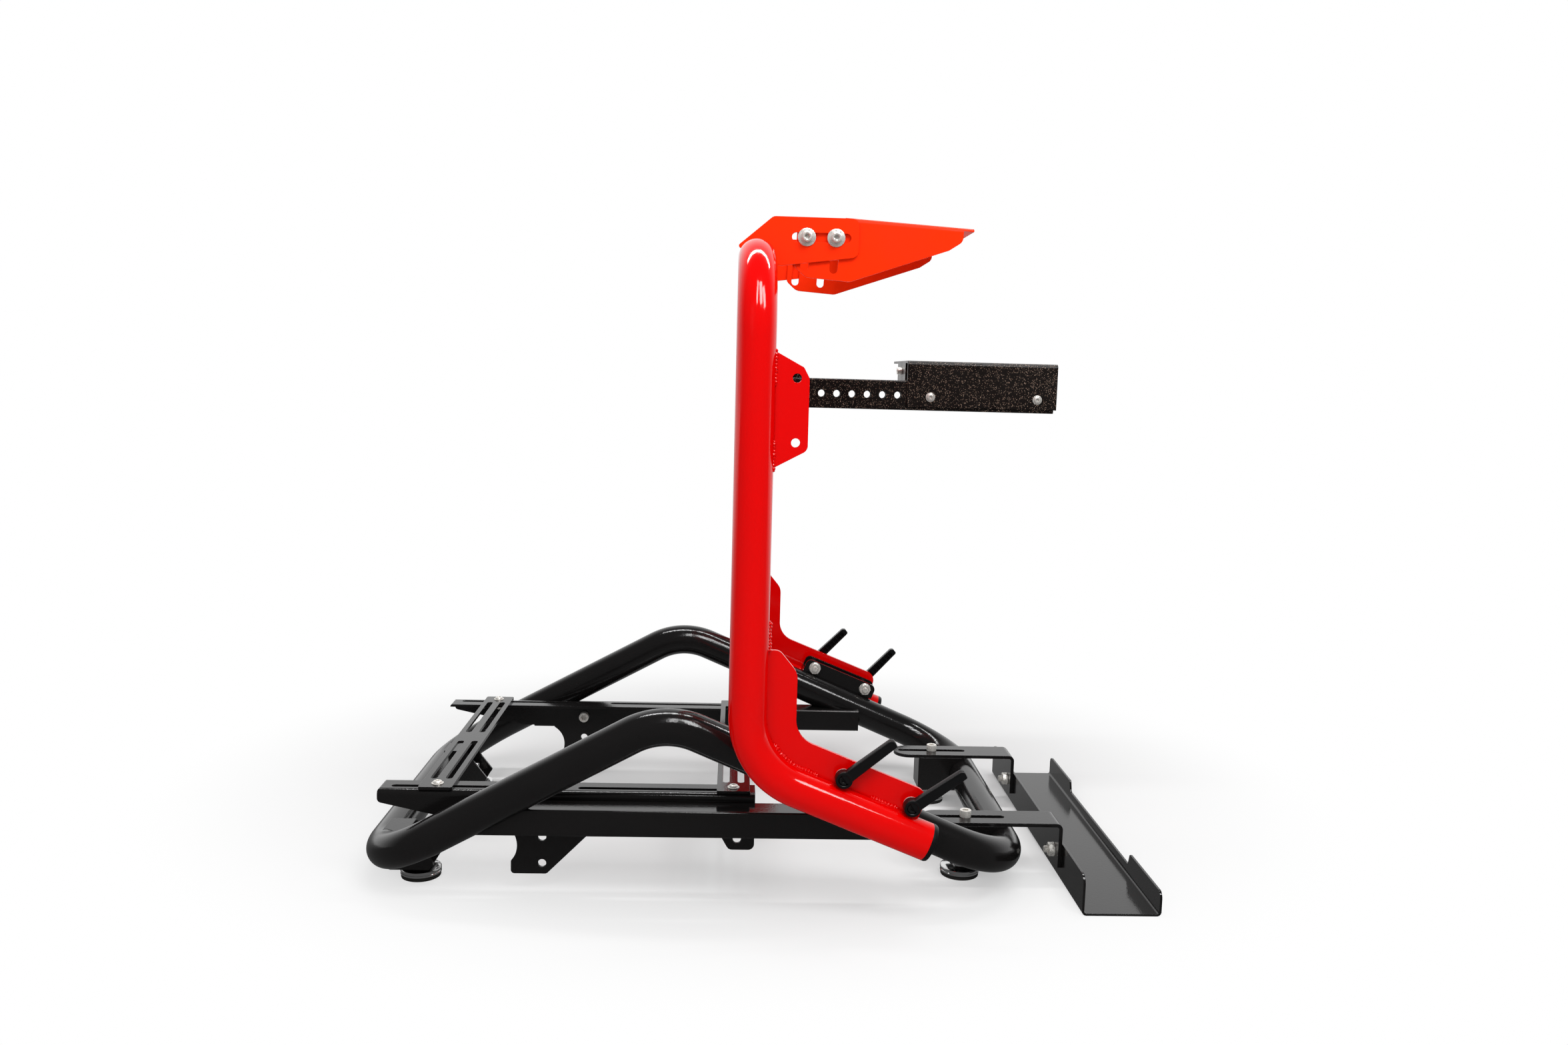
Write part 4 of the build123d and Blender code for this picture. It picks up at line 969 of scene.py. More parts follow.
# ------------------------------------------------------------------ tubes
@dataclass
class TubeWork:
    """Smooth bent tubes: the base loop and the arched upright with its caps.

    Attributes:
        tube_d: Outer diameter.
        wall: Wall thickness.
        bend_r: Centreline radius of a bend.
        base_w: Centre of a side tube from the middle plane.
        front_x: Centre of the front cross tube.
        front_z: Its height.
        rear_x: Centre of the rear cross tube.
        rear_z: Its height.
        front_slope: Rise of the side tube behind the front cross tube, in degrees.
        rear_slope: Fall towards the rear cross tube, in degrees.
        gap: Space between the upright and the base tube beside it.
        leg_x: Centre of a leg.
        top_z: Centre of the top cross tube.
        knee_z: Height where the leg's centre line meets that of its lower run.
        run_slope: Fall of the lower run, in degrees.
        run_end_x: End of the lower run.
        cap_t: Thickness of an end cap.
    """

    tube_d: float = 48.3
    wall: float = 2.6
    bend_r: float = 100.0
    base_w: float = 262.0
    front_x: float = -79.0
    front_z: float = 43.0
    rear_x: float = 766.5
    rear_z: float = 50.0
    front_slope: float = 28.4
    rear_slope: float = 23.0
    gap: float = 0.7
    leg_x: float = 406.0
    top_z: float = 835.0
    knee_z: float = 201.0
    run_slope: float = 22.0
    run_end_x: float = 636.0
    cap_t: float = 7.0

    @property
    def upright_w(self) -> float:
        """Centre of a leg from the middle plane."""
        return self.base_w + self.tube_d + self.gap

    @property
    def run_ahead(self) -> np.ndarray:
        """Direction of the left lower run."""
        slope = math.radians(self.run_slope)
        return np.array([math.cos(slope), 0.0, -math.sin(slope)])

    def base_loop(self) -> Shell:
        """Closed loop of the base: cross tubes and humped side tubes, one profile carried round."""
        rise = math.tan(math.radians(self.front_slope))
        fall = math.tan(math.radians(self.rear_slope))
        peak_x = (self.rear_z - self.front_z + self.rear_x * fall + self.front_x * rise) / (rise + fall)
        peak_z = self.front_z + (peak_x - self.front_x) * rise
        left = np.array([
            (self.front_x, -self.base_w, self.front_z),
            (peak_x, -self.base_w, peak_z),
            (self.rear_x, -self.base_w, self.rear_z),
        ])
        corners = np.concatenate([left, left[::-1] * np.array([1.0, -1.0, 1.0])])
        route = rounded_route(corners, self.bend_r, ring=True)
        return carried(circle(self.tube_d / 2, TUBE_STEPS), route, ring=True)

    def upright(self) -> Shell:
        """Arched upright with an open bore: the outer wall is carried forward and the inner wall back."""
        end = np.array([self.run_end_x, -self.upright_w, self.run_end_z])
        left = np.array([
            end,
            (self.leg_x, -self.upright_w, self.knee_z),
            (self.leg_x, -self.upright_w, self.top_z),
        ])
        corners = np.concatenate([left, left[::-1] * np.array([1.0, -1.0, 1.0])])
        route = rounded_route(corners, self.bend_r, ring=False)
        outer = carried(circle(self.tube_d / 2, TUBE_STEPS), route, ring=False)
        inner = carried(circle(self.tube_d / 2 - self.wall, TUBE_STEPS), route, ring=False)
        count = len(route) * TUBE_STEPS
        grid = np.concatenate([
            outer.points[:count].reshape(-1, TUBE_STEPS, 3),
            inner.points[:count].reshape(-1, TUBE_STEPS, 3)[::-1],
        ])
        return grid_shell(grid, ring=True)

    @property
    def run_end_z(self) -> float:
        """Height of the lower run's end."""
        return self.knee_z - (self.run_end_x - self.leg_x) * math.tan(math.radians(self.run_slope))

    def cap(self) -> Shell:
        """Left end cap: a rounded disc with a plain plug inside the tube."""
        outer = self.tube_d / 2
        plug = outer - self.wall - 0.1
        stations = [
            (plug - 1.0, -2 * self.cap_t),
            (plug, -2 * self.cap_t + 1.5),
            (plug, 0.0),
            (outer, 0.0),
            (outer, self.cap_t - 3.0),
            (outer - 0.9, self.cap_t - 0.9),
            (outer - 3.0, self.cap_t),
            (outer - 7.0, self.cap_t),
            (outer - 7.5, self.cap_t - 0.5),
            (1.0, self.cap_t - 0.5),
        ]
        return turned(stations, TUBE_STEPS).placed(
            tuple(self.run_ahead), (self.run_end_x, -self.upright_w, self.run_end_z)
        )

    def build(self, workshop: Workshop) -> None:
        """Adds the tubes and the caps.

        Args:
            workshop: Place where pieces are made.
        """
        halves = ("base_tube_left", "base_tube_right")
        workshop.add("base_loop_tube", self.base_loop(), "frame", "black_gloss_paint", halves)
        workshop.stand_in("upright_tube", [self.upright()], "arch")
        workshop.stand_in("end_caps", self.cap().both_sides(), "moulded")


# ------------------------------------------------------------------ fasteners
class Head(Enum):
    """Head of a screw: a tall socket cap or a low flanged button."""

    CAP = "cap"
    BUTTON = "button"


@dataclass(frozen=True)
class Screw:
    """Metric socket screw.

    Attributes:
        size: Thread diameter.
        length: Length under the head.
        head: Kind of head.
        threaded: Length of thread at the tip.
        pitch: Height of one thread turn.
    """

    size: float
    length: float
    head: Head
    threaded: float = 8.0
    pitch: float = M8_PITCH

    def shell(self) -> Shell:
        """Whole screw on its axis, the underside of its head at 0 and its head up."""
        d = self.size
        turns = threaded(0.5 * d, -self.length + 0.6, -self.length + self.threaded, self.pitch)
        stations = [(0.4 * d, -self.length), *turns, (0.5 * d, turns[-1][1] + 0.4), (0.5 * d, 0.0)]
        stations += self.cap_head() if self.head is Head.CAP else self.button_head()
        return turned(stations, 48, self.pitch, 0.065 * d)

    def cap_head(self) -> list[tuple]:
        """Stations of a tall round head with a bevelled rim and a hexagon socket."""
        d = self.size
        return [
            (0.77 * d, 0.0),
            (0.8 * d, 0.03 * d),
            (0.8 * d, 0.93 * d),
            (0.78 * d, 0.975 * d),
            (0.73 * d, d),
            (0.5 * d, d),
            (0.405 * d, 0.95 * d, Outline.HEX),
            (0.4 * d, 0.9 * d, Outline.HEX),
            (0.4 * d, 0.46 * d, Outline.HEX),
            (0.05 * d, 0.4 * d),
        ]

    def button_head(self) -> list[tuple]:
        """Stations of a thin flange under a low dome with a hexagon socket."""
        d = self.size
        angle = np.linspace(0.0, 1.15, 8)
        dome = [(d * (0.3 + 0.5 * math.cos(a)), d * (0.16 + 0.36 * math.sin(a))) for a in angle]
        return [
            (0.97 * d, 0.0),
            (d, 0.03 * d),
            (0.98 * d, 0.12 * d),
            (0.84 * d, 0.15 * d),
            *dome,
            (0.36 * d, 0.5 * d),
            (0.3 * d, 0.46 * d, Outline.HEX),
            (0.3 * d, 0.22 * d, Outline.HEX),
            (0.04 * d, 0.18 * d),
        ]


def flange_nut(size: float) -> Shell:
    """Hexagon nut with a round flange, standing on 0.

    Args:
        size: Thread diameter.

    Returns:
        A closed ring.
    """
    stations = [
        (0.5 * size + 0.05, 0.0),
        (0.98 * size, 0.0),
        (size, 0.04 * size),
        (0.97 * size, 0.14 * size),
        (0.85 * size, 0.2 * size, Outline.HEX),
        (0.85 * size, 0.72 * size, Outline.HEX),
        (0.84 * size, 0.8 * size),
        (0.56 * size, 0.8 * size),
        (0.5 * size + 0.05, 0.74 * size),
    ]
    return turned(stations, 48, ring=True)


def flat_washer(size: float, outer_d: float, thickness: float) -> Shell:
    """Washer with a stamped round edge, standing on 0.

    Args:
        size: Screw diameter.
        outer_d: Outer diameter.
        thickness: Thickness.

    Returns:
        A closed ring.
    """
    bore = size / 2 + 0.25
    stations = [
        (bore, 0.0),
        (outer_d / 2, 0.0),
        (outer_d / 2, thickness - 0.5),
        (outer_d / 2 - 0.15, thickness - 0.15),
        (outer_d / 2 - 0.5, thickness),
        (bore, thickness),
    ]
    return turned(stations, 56, ring=True)


@dataclass
class Hardware:
    """Screws, nuts and washers of the whole stand. Widths are measured from the middle plane.

    Attributes:
        sheet: Thickness of folded sheet.
        rail_x: Bolted columns of the rails.
        rail_w: Inner face of a rail's web.
        rail_z: Height of the bolted holes.
        plate_x: Front and rear pedal plates.
        plate_w: Plate screws.
        plate_z: Top face of a plate.
        foot_nuts_at: Places of the front and rear foot nuts on the left.
        arm_x: Screw of a tray arm.
        arm_w: Middle of a tray arm.
        arm_z: Top of a tray arm.
        arm_under_z: Underside of the bracket's top.
        arm_t: Thickness of a tray arm.
        tray_x: Outer face of the tray's front wall.
        tray_t: Thickness of that wall.
        tray_z: Height of the tray's bolts.
        cheek_x: Holes of a shifter cheek.
        cheek_zs: Their heights.
        seat_w: Inner face of a shifter cheek.
        cheek_t: Thickness of a shifter cheek and of the arm's end plate.
        table_xs: Screws of the shifter platform.
        table_w: Inner face of the platform's flange.
        table_z: Height of those screws.
        arm_face_w: Outer face of the shifter arm.
        flange_x: Face of the platform's end flange.
        flange_w: Its screw.
        flange_z: Its screw's height.
        deck_xs: Deck bolts.
        deck_z: Their height.
        deck_w: Outer face of a wheel cheek.
        deck_in_w: Inner face of the deck's flange.
        washer_t: Thickness of a washer.
    """

    sheet: float = 4.0
    rail_x: tuple[float, float] = (140.0, 397.0)
    rail_w: float = 223.0
    rail_z: float = 111.0
    plate_x: dict[str, float] = field(default_factory=lambda: {"front": 0.0, "rear": 391.0})
    plate_w: float = 211.0
    plate_z: float = 141.0
    foot_nuts_at: tuple[tuple[float, float, float], ...] = ((-31.0, -177.0, 21.0), (711.0, -152.0, 28.0))
    arm_x: float = 716.0
    arm_w: float = 152.0
    arm_z: float = 83.0
    arm_under_z: float = 74.0
    arm_t: float = 5.0
    tray_x: float = 848.0
    tray_t: float = 3.0
    tray_z: float = 37.0
    cheek_x: float = 456.0
    cheek_zs: tuple[float, float] = (608.0, 686.0)
    seat_w: float = 308.5
    cheek_t: float = 5.0
    table_xs: tuple[float, float] = (711.0, 893.5)
    table_w: float = 283.5
    table_z: float = 658.0
    arm_face_w: float = 303.5
    flange_x: float = 671.0
    flange_w: float = 364.5
    flange_z: float = 701.5
    deck_xs: tuple[float, float] = (471.7, 510.7)
    deck_z: float = 871.0
    deck_w: float = 141.0
    deck_in_w: float = 132.5
    washer_t: float = 1.6

    def pedal_groups(self) -> dict[str, list[Shell]]:
        """Bolts and nuts of the rails and of the pedal plates, by node."""
        groups = {"rail_bolts": []}
        for x in self.rail_x:
            bolt = Screw(M10, self.sheet + 5.0, Head.CAP, 6.0, M10_PITCH).shell()
            groups["rail_bolts"] += bolt.placed((0, 1, 0), (x, -self.rail_w, self.rail_z)).both_sides()
        for end, x in self.plate_x.items():
            bolt = Screw(M8, 2 * self.sheet + 8.4, Head.BUTTON).shell()
            bolt = bolt.placed((0, 0, 1), (x, -self.plate_w, self.plate_z))
            groups[f"{end}_plate_bolts"] = bolt.both_sides()
            under = self.plate_z - 2 * self.sheet
            nut = flange_nut(M8).placed((0, 0, -1), (x, -self.plate_w, under))
            groups[f"{end}_plate_nuts"] = nut.both_sides()
        return groups

    def tray_groups(self) -> dict[str, list[Shell]]:
        """Nuts of the feet and the screws and nuts of the tray and its arms, by node."""
        groups = {"foot_nuts": [], "arm_screws": [], "tray_bolts": [], "tray_nuts": []}
        for place in self.foot_nuts_at:
            groups["foot_nuts"] += flange_nut(M10).placed((0, 0, 1), place).both_sides()
        screw = Screw(M10, 19.0, Head.CAP, 9.0, M10_PITCH).shell()
        groups["arm_screws"] += screw.placed((0, 0, 1), (self.arm_x, -self.arm_w, self.arm_z)).both_sides()
        nut = flange_nut(M10).placed((0, 0, -1), (self.arm_x, -self.arm_w, self.arm_under_z))
        groups["arm_screws"] += nut.both_sides()
        bolt = Screw(M10, 22.0, Head.BUTTON, 14.0, M10_PITCH).shell()
        bolt = bolt.placed((1, 0, 0), (self.tray_x + self.tray_t, -self.arm_w, self.tray_z))
        nut = flange_nut(M10).placed((-1, 0, 0), (self.tray_x - self.arm_t, -self.arm_w, self.tray_z))
        groups["tray_bolts"] += bolt.both_sides()
        groups["tray_nuts"] += nut.both_sides()
        return groups

    def shifter_groups(self) -> dict[str, list[Shell]]:
        """Screws and nuts of the shifter arm and platform by node, drawn on the left and mirrored."""
        arm_bolts = []
        for z in self.cheek_zs:
            bolt = Screw(M10, 2 * self.cheek_t + 10.0, Head.CAP, 10.0, M10_PITCH).shell()
            arm_bolts.append(bolt.placed((0, -1, 0), (self.cheek_x, -self.seat_w - self.cheek_t, z)))
            arm_bolts.append(flange_nut(M10).placed((0, 1, 0), (self.cheek_x, -self.arm_face_w, z)))
        screws = []
        for x in self.table_xs:
            screw = Screw(M8, 28.0, Head.BUTTON, 9.0).shell()
            screws.append(screw.placed((0, 1, 0), (x, -self.table_w, self.table_z)))
            screws.append(flange_nut(M8).placed((0, -1, 0), (x, -self.arm_face_w, self.table_z)))
        screw = Screw(M8, 16.0, Head.CAP, 9.0).shell()
        screws.append(screw.placed((-1, 0, 0), (self.flange_x, -self.flange_w, self.flange_z)))
        inner_x = self.flange_x + self.sheet
        screws.append(flange_nut(M8).placed((1, 0, 0), (inner_x, -self.flange_w, self.flange_z)))
        return {
            "shifter_arm_bolts": [shell.mirrored() for shell in arm_bolts],
            "platform_screws": [shell.mirrored() for shell in screws],
        }

    def deck_groups(self) -> dict[str, list[Shell]]:
        """Bolts, washers and nuts between the wheel cheeks and the deck, by node."""
        groups = {"deck_bolts": [], "deck_washers": [], "deck_nuts": []}
        for x in self.deck_xs:
            bolt = Screw(M8, 22.7, Head.CAP, 10.0).shell()
            seat = -self.deck_w - 2 * self.washer_t
            groups["deck_bolts"] += bolt.placed((0, -1, 0), (x, seat, self.deck_z)).both_sides()
            large = flat_washer(M8, 3 * M8, self.washer_t)
            small = flat_washer(M8, 2 * M8, self.washer_t).placed(
                (0, -1, 0), (x, -self.deck_w - self.washer_t, self.deck_z)
            )
            groups["deck_washers"] += large.placed((0, -1, 0), (x, -self.deck_w, self.deck_z)).both_sides()
            groups["deck_washers"] += small.both_sides()
            groups["deck_washers"] += large.placed((0, 1, 0), (x, -self.deck_in_w, self.deck_z)).both_sides()
            nut = flange_nut(M8).placed((0, 1, 0), (x, -self.deck_in_w + self.washer_t, self.deck_z))
            groups["deck_nuts"] += nut.both_sides()
        return groups

    def build(self, workshop: Workshop) -> None:
        """Adds every group in place of its node.

        Args:
            workshop: Place where pieces are made.
        """
        groups = {**self.pedal_groups(), **self.tray_groups(), **self.shifter_groups(), **self.deck_groups()}
        for node, shells in groups.items():
            workshop.stand_in(node, shells, "turned")


# ------------------------------------------------------------------ clamp levers
@dataclass
class ClampLevers:
    """Four moulded levers that squeeze the upright's gussets onto the base's brackets.

    Attributes:
        front_at: X and Z of the front clamp screw.
        pitch: Distance to the rear one along the run.
        slope: Fall of the run, in degrees.
        seat_w: Outer face of a gusset.
        nut_w: Inner face of a bracket's inner cheek.
        washer_t: Thickness of a washer.
        hub_d: Diameter of a hub.
        hub_long: Length of a hub.
        well_deep: Depth of the well in a hub.
        arm_long: Reach of an arm.
        arm_deep: Depth of an arm along Y.
        arm_back: Outer face of an arm behind the hub's end.
        angles: Rise of the front and rear arms by side, in degrees.
    """

    front_at: tuple[float, float] = (528.0, 190.0)
    pitch: float = 94.0
    slope: float = 22.0
    seat_w: float = 306.0
    nut_w: float = 266.0
    washer_t: float = 1.6
    hub_d: float = 22.0
    hub_long: float = 17.0
    well_deep: float = 6.0
    arm_long: float = 80.0
    arm_deep: float = 10.5
    arm_back: float = 0.5
    angles: dict[Side, tuple[float, float]] = field(
        default_factory=lambda: {Side.LEFT: (38.0, 35.0), Side.RIGHT: (45.0, 46.0)}
    )

    def screw_places(self) -> dict[str, tuple[float, float]]:
        """X and Z of the front and rear clamp screws."""
        x, z = self.front_at
        slope = math.radians(self.slope)
        return {
            "front": (x, z),
            "rear": (x + self.pitch * math.cos(slope), z - self.pitch * math.sin(slope)),
        }

    @property
    def hub_seat(self) -> tuple[float, float, float]:
        """Middle of a hub's face on its washer, with the clamp screw at X and Z 0."""
        return (0.0, -self.seat_w - self.washer_t, 0.0)

    @property
    def arm_inner_w(self) -> float:
        """Inner face of an arm from the middle plane."""
        return self.seat_w + self.washer_t + self.hub_long - self.arm_deep - self.arm_back

    @staticmethod
    def stacked(plans: list[tuple[list[tuple[float, float]], float, float]], count: int) -> Shell:
        """Surface through rounded outlines that lie one above the other along -Y.

        Args:
            plans: Corners in X and Z, corner radius and width from the middle plane of each outline.
            count: Points in an outline.

        Returns:
            A closed shell.
        """
        sections = []
        for corners, radius, w in plans:
            plan = rounded_polygon(corners, radius, count)
            sections.append(np.stack([plan[:, 0], np.full(count, -w), plan[:, 1]], axis=-1))
        return grid_shell(np.array(sections), ring=False)

    def arm(self) -> Shell:
        """Lever arm along +X, with a long hollow in the face that looks inwards.

        From the inside out its outlines are the hollow's floor, the hollow's rim, the arm's inner face, its
        two edges and its outer face.
        """
        long = self.arm_long
        body = [(0.0, -7.5), (long - 1.0, -5.5), (long, 3.0), (long - 4.0, 6.5), (0.0, 7.5)]
        small = [(1.0, -6.7), (long - 1.6, -4.8), (long - 0.8, 2.7), (long - 4.4, 5.7), (1.0, 6.7)]
        hollow = [(19.0, -3.9), (long - 8.0, -3.0), (long - 6.5, 1.0), (long - 8.0, 3.6), (19.0, 4.2)]
        inner = self.arm_inner_w
        outer = inner + self.arm_deep
        plans = [
            (hollow, 0.8, inner + 6.0),
            (hollow, 0.8, inner + 0.3),
            (small, 1.4, inner),
            (body, 1.6, inner + 0.8),
            (body, 1.6, outer - 1.2),
            (small, 1.4, outer),
        ]
        return self.stacked(plans, 72)

    def ribs(self) -> list[Shell]:
        """Cross ribs in an arm's hollow, each a small rounded block."""
        shells = []
        for x in np.linspace(26.0, self.arm_long - 14.0, 6):
            corners = [(x - 0.7, -4.0), (x + 0.7, -4.0), (x + 0.7, 4.2), (x - 0.7, 4.2)]
            ends = (self.arm_inner_w + 1.2, self.arm_inner_w + 6.5)
            shells.append(self.stacked([(corners, 0.3, w) for w in ends], 16))
        return shells

    def hub(self) -> Shell:
        """Round hub with a stepped collar, a rolled outer rim and a well for the screw's head."""
        r = self.hub_d / 2
        long = self.hub_long
        stations = [
            (5.05, 0.0),
            (r - 1.6, 0.0),
            (r - 1.2, 0.5),
            (r - 1.2, 2.6),
            (r, 3.4),
            (r, long - 2.0),
            (r - 0.6, long - 0.6),
            (r - 2.0, long),
            (7.4, long),
            (6.8, long - 0.6),
            (6.8, long - self.well_deep),
            (5.05, long - self.well_deep),
        ]
        return turned(stations, 56, ring=True).placed((0, -1, 0), self.hub_seat)

    def screw_head(self) -> Shell:
        """Blackened socket head in the hub's well."""
        low = self.hub_long - self.well_deep
        stations = [
            (6.2, low),
            (6.4, low + 0.3),
            (6.4, low + 3.4),
            (6.1, low + 3.9),
            (5.4, low + 4.2),
            (3.6, low + 4.2),
            (2.7, low + 3.9, Outline.HEX),
            (2.7, low + 1.2, Outline.HEX),
            (0.4, low + 0.9),
        ]
        return turned(stations).placed((0, -1, 0), self.hub_seat)

    def stud(self) -> list[Shell]:
        """Threaded clamp stud, and the washer on the gusset."""
        reach = self.seat_w + self.washer_t + self.hub_long - self.well_deep
        low = self.nut_w - 11.0
        stations = [
            (4.0, low),
            *threaded(5.0, low + 0.6, low + 12.0, M10_PITCH),
            (5.0, low + 12.6),
            (5.0, reach - 0.2),
            (4.6, reach),
        ]
        screw = turned(stations, 48, M10_PITCH, STUD_CUT).placed((0, -1, 0), (0.0, 0.0, 0.0))
        washer = flat_washer(M10, 2 * M10, self.washer_t).placed((0, -1, 0), (0.0, -self.seat_w, 0.0))
        return [screw, washer]

    def build(self, workshop: Workshop) -> None:
        """Adds the four levers, their studs and the clamp nuts.

        Args:
            workshop: Place where pieces are made.
        """
        nuts = []
        for side, rises in self.angles.items():
            for (end, (x, z)), rise in zip(self.screw_places().items(), rises):
                angle = math.radians(rise)
                tilt = np.array([
                    (math.cos(angle), 0.0, -math.sin(angle)),
                    (0.0, 1.0, 0.0),
                    (math.sin(angle), 0.0, math.cos(angle)),
                ])
                lever = joined([self.hub(), self.arm(), *self.ribs()])
                pieces = {"lever": lever, "stud": joined(self.stud()), "screw_head": self.screw_head()}
                for kind, shell in pieces.items():
                    placed = Shell(shell.points @ tilt.T + np.array([x, 0.0, z]), shell.faces)
                    placed = placed if side is Side.LEFT else placed.mirrored()
                    name = f"{end}_clamp_{kind}_{side.word}"
                    if kind == "screw_head":
                        workshop.add(name, placed, f"{end}_lever_{side.word}", "black_gloss_paint")
                    else:
                        workshop.stand_in(name, [placed], "turned" if kind == "stud" else "moulded")
                if side is Side.LEFT:
                    nuts += flange_nut(M10).placed((0, 1, 0), (x, -self.nut_w, z)).both_sides()
        workshop.stand_in("clamp_nuts", nuts, "turned")


# ------------------------------------------------------------------ feet
@dataclass
class LevellingFeet:
    """Four chromed feet on rubber soles.

    Attributes:
        places: X, width from the middle plane and bracket height of the front and rear feet.
        disc_d: Diameter of a disc.
        pad_t: Thickness of a sole.
        disc_t: Thickness of a disc.
        stud_above: Stud above the bracket's web.
        size: Thread diameter.
    """

    places: dict[str, tuple[float, float, float]] = field(
        default_factory=lambda: {"front": (-31.0, 177.0, 17.0), "rear": (711.0, 152.0, 24.0)}
    )
    disc_d: float = 54.5
    pad_t: float = 5.0
    disc_t: float = 9.0
    stud_above: float = 26.0
    size: float = 10.0

    def disc(self, web_z: float) -> Shell:
        """Turned disc with a groove, a shallow cone, a hexagon hub and a threaded stud.

        Args:
            web_z: Underside of the bracket.

        Returns:
            A closed shell that stands on the sole.
        """
        r = self.disc_d / 2
        low = self.pad_t
        top = low + self.disc_t
        hub = web_z - 1.0
        end = web_z + self.stud_above
        stations = [
            (r - 1.0, low),
            (r, low + 0.8),
            (r, low + 3.0),
            (r - 0.5, low + 3.4),
            (r - 0.5, low + 3.9),
            (r, low + 4.3),
            (r, top - 2.4),
            (r - 0.6, top - 1.4),
            (r - 2.0, top - 0.9),
            (self.size * 1.02, top),
            (self.size, min(top + 0.5, hub - 0.4)),
            (self.size, hub - 0.3),
            (self.size - 0.8, hub),
            (self.size / 2, hub),
            *threaded(self.size / 2, hub + 0.3, end - 0.6, M10_PITCH),
            (self.size / 2 - 0.9, end),
        ]
        return turned(stations, 72, M10_PITCH, STUD_CUT)

    def sole(self) -> Shell:
        """Rubber sole under the disc, closed in its middle, its lower edge rounded."""
        r = self.disc_d / 2 - 0.8
        stations = [
            (r - 4.0, 0.0),
            (r - 1.0, 0.0),
            (r - 0.3, 0.4),
            (r, 1.4),
            (r, self.pad_t - 0.6),
            (r - 0.6, self.pad_t),
        ]
        return turned(stations, 72)

    def build(self, workshop: Workshop) -> None:
        """Adds discs and soles.

        Args:
            workshop: Place where pieces are made.
        """
        for end, (x, w, web_z) in self.places.items():
            for side in Side:
                place = (x, side.value * w, 0.0)
                disc = self.disc(web_z).placed((0, 0, 1), place)
                sole = self.sole().placed((0, 0, 1), place)
                workshop.stand_in(f"{end}_foot_{side.word}", [disc], "turned")
                workshop.stand_in(f"{end}_foot_pad_{side.word}", [sole], "moulded")


# ------------------------------------------------------------------ welds
BEAD_STEP = 0.5           # between two sections of a bead
PUDDLE = 4.2              # between two puddles of a bead
SWELL = 4.0               # between two random sizes of a bead


@dataclass(frozen=True)
class Seam:
    """Painted weld bead.

    Attributes:
        name: Piece name.
        route: (n, 3) points in the stand's millimetres.
        radius: Radius of the bead.
        slot: Material slot.
        seed: Seed of its unevenness.
    """

    name: str
    route: np.ndarray
    radius: float
    slot: str
    seed: int

    def shell(self) -> Shell:
        """Rope of overlapping puddles along the route.

        The radius is the bead's own times 0.75 plus 0.4 times the absolute cosine of half a turn times the
        length over PUDDLE, times a slow random swell, and it falls to a rounded end over one radius.
        """
        steps = np.linalg.norm(np.diff(self.route, axis=0), axis=1)
        along = np.concatenate([[0.0], np.cumsum(steps)])
        places = np.arange(0.0, along[-1], BEAD_STEP)
        line = np.stack([np.interp(places, along, self.route[:, axis]) for axis in range(3)], axis=-1)
        knots = np.arange(0.0, along[-1] + 2 * SWELL, SWELL)
        sizes = np.random.default_rng(self.seed).uniform(0.75, 1.15, len(knots))
        swell = np.interp(places, knots, sizes)
        puddle = 0.75 + 0.4 * np.abs(np.cos(np.pi * places / PUDDLE))
        rest = np.minimum(places, places[-1] - places) / self.radius
        taper = np.sqrt(np.clip(1 - (1 - np.clip(rest, 0.02, 1.0)) ** 2, 0.0004, 1.0))
        return carried(circle(self.radius, 14), line, ring=False, scale=swell * puddle * taper)


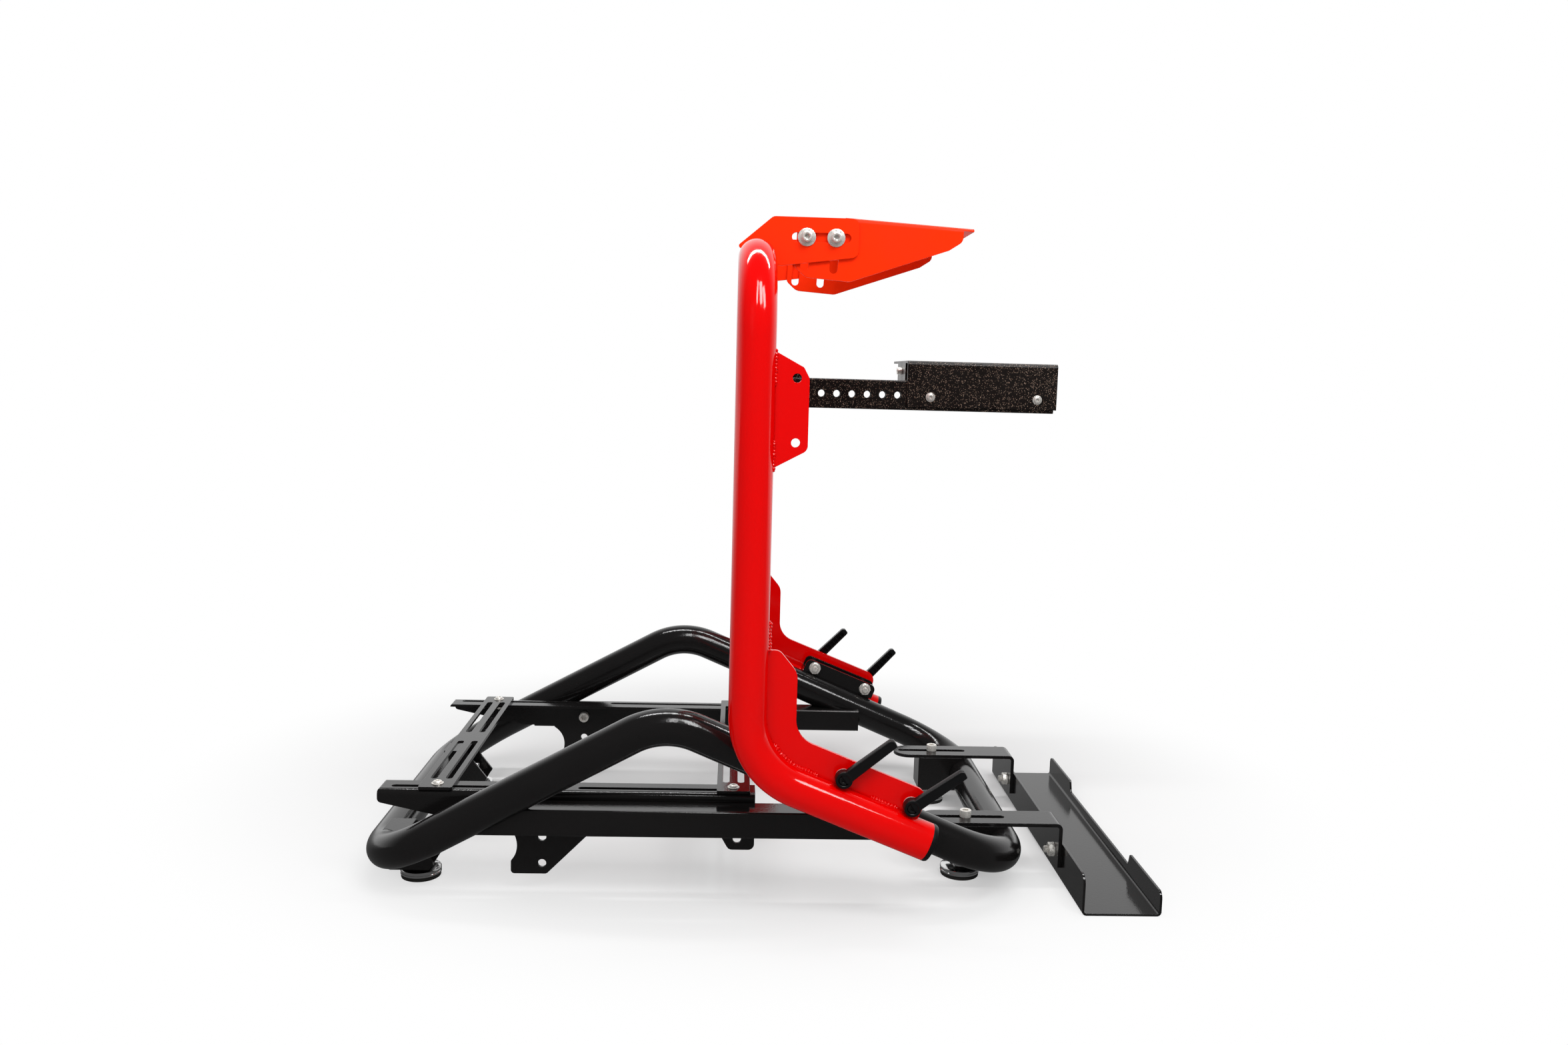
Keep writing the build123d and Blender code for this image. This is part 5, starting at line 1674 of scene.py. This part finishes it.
@dataclass
class Welds:
    """Painted beads where sheet meets tube.

    Attributes:
        tubes: The tubes that the beads lie on.
        gusset_w: Outer face of a gusset.
        gusset_out: Middle of a gusset's bead outside that face.
        cheek_w: Middle of a shifter cheek's bead, just outside the cheek.
        cheek_top_z: Top end of a cheek's upper bead.
        cheek_low_z: Bottom end of a cheek's lower bead.
        saddle_w: Middle of a wheel cheek's bead, just outside the cheek.
        radius: Radius of a gusset's bead.
        cheek_radius: Radius of a shifter cheek's bead.
        saddle_radius: Radius of a wheel cheek's bead.
    """

    tubes: TubeWork
    gusset_w: float = 306.0
    gusset_out: float = 1.2
    cheek_w: float = 314.0
    cheek_top_z: float = 722.0
    cheek_low_z: float = 572.0
    saddle_w: float = 141.4
    radius: float = 3.8
    cheek_radius: float = 2.2
    saddle_radius: float = 1.9

    def gusset_line(self, start: float, end: float) -> np.ndarray:
        """Part of the line where the gusset's outer face meets the tube.

        The line keeps the distance from the tube's centre line at which a plane that far off its axis cuts
        it: a straight stretch down the leg, an arc about the bend's centre, and a straight stretch along the
        run. Its length is measured from the end of the arc, backwards as a negative number.

        Args:
            start: Start of the part, in millimetres.
            end: End of the part.

        Returns:
            (n, 3) points.
        """
        tubes = self.tubes
        off = tubes.upright_w - self.gusset_w
        reach = math.sqrt((tubes.tube_d / 2) ** 2 - off**2)
        turn = math.radians(90 - tubes.run_slope)
        cut = tubes.bend_r * math.tan(turn / 2)
        centre = np.array([tubes.leg_x + tubes.bend_r, tubes.knee_z + cut])
        inner = tubes.bend_r - reach
        length = np.arange(start, end, 1.0)
        angle = turn + np.clip(length, -turn * inner, 0.0) / inner
        x = centre[0] - inner * np.cos(angle)
        z = centre[1] - inner * np.sin(angle)
        straight = np.maximum(length, 0.0)
        before = np.minimum(length + turn * inner, 0.0)
        x = x + straight * tubes.run_ahead[0]
        z = z + straight * tubes.run_ahead[2] - before
        return np.stack([x, np.full(len(x), -self.gusset_w - self.gusset_out), z], axis=-1)

    def cheek_line(self, start: float, end: float) -> np.ndarray:
        """Upright stretch where a shifter cheek meets the leg.

        Args:
            start: Lower end.
            end: Upper end.

        Returns:
            (n, 3) points.
        """
        tubes = self.tubes
        off = tubes.upright_w - self.cheek_w
        x = tubes.leg_x + math.sqrt((tubes.tube_d / 2) ** 2 - off**2)
        z = np.arange(start, end, 1.0)
        return np.stack([np.full(len(z), x), np.full(len(z), -self.cheek_w), z], axis=-1)

    def saddle_line(self, start: float, end: float) -> np.ndarray:
        """Arc where a wheel cheek stands on the top cross tube.

        Args:
            start: First angle from +X, in degrees.
            end: Last angle.

        Returns:
            (n, 3) points.
        """
        tubes = self.tubes
        angle = np.radians(np.arange(start, end, 3.0))
        x = tubes.leg_x + tubes.tube_d / 2 * np.cos(angle)
        z = tubes.top_z + tubes.tube_d / 2 * np.sin(angle)
        return np.stack([x, np.full(len(x), -self.saddle_w), z], axis=-1)

    def seams(self) -> list[Seam]:
        """All beads of the left side."""
        red = "red_gloss_paint"
        orange = "orange_red_paint"
        top = self.cheek_line(self.cheek_top_z - 46, self.cheek_top_z)
        low = self.cheek_line(self.cheek_low_z, self.cheek_low_z + 40)
        return [
            Seam("gusset_bead_elbow", self.gusset_line(-52.0, 22.0), self.radius, red, 3),
            Seam("gusset_bead_run", self.gusset_line(92.0, 131.0), self.radius, red, 5),
            Seam("gusset_bead_leg", self.gusset_line(-210.0, -168.0), self.radius, red, 7),
            Seam("cheek_bead_top", top, self.cheek_radius, red, 11),
            Seam("cheek_bead_low", low, self.cheek_radius, red, 13),
            Seam("wheel_cheek_bead", self.saddle_line(5.0, 140.0), self.saddle_radius, orange, 17),
        ]

    def build(self, workshop: Workshop) -> None:
        """Adds every bead on both sides.

        Args:
            workshop: Place where pieces are made.
        """
        for seam in self.seams():
            for side, shell in zip(Side, seam.shell().both_sides()):
                workshop.add(f"{seam.name}_{side.word}", shell, "frame", seam.slot)


def main() -> None:
    """Dresses the stand, adds its detailed pieces and sets up the studio."""
    logging.basicConfig(level=logging.INFO, format="%(name)s: %(message)s")
    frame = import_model()
    datum = Datum.read()
    finishes = Finishes()
    slots = {entry["node"]: entry["material_slot"] for entry in frame["record"]["subparts"]}
    groups = frame["record"]["behaviour"]["bodies"]
    bodies = {node: body for body, nodes in groups.items() for node in nodes}
    for name, node in frame["nodes"].items():
        finishes.dress(node, slots[name])
    workshop = Workshop(datum, finishes, bodies, slots)
    tubes = TubeWork()
    for assembly in (tubes, Hardware(), ClampLevers(), LevellingFeet(), Welds(tubes)):
        assembly.build(workshop)
    Studio().build(datum)


if __name__ == "__main__":
    main()
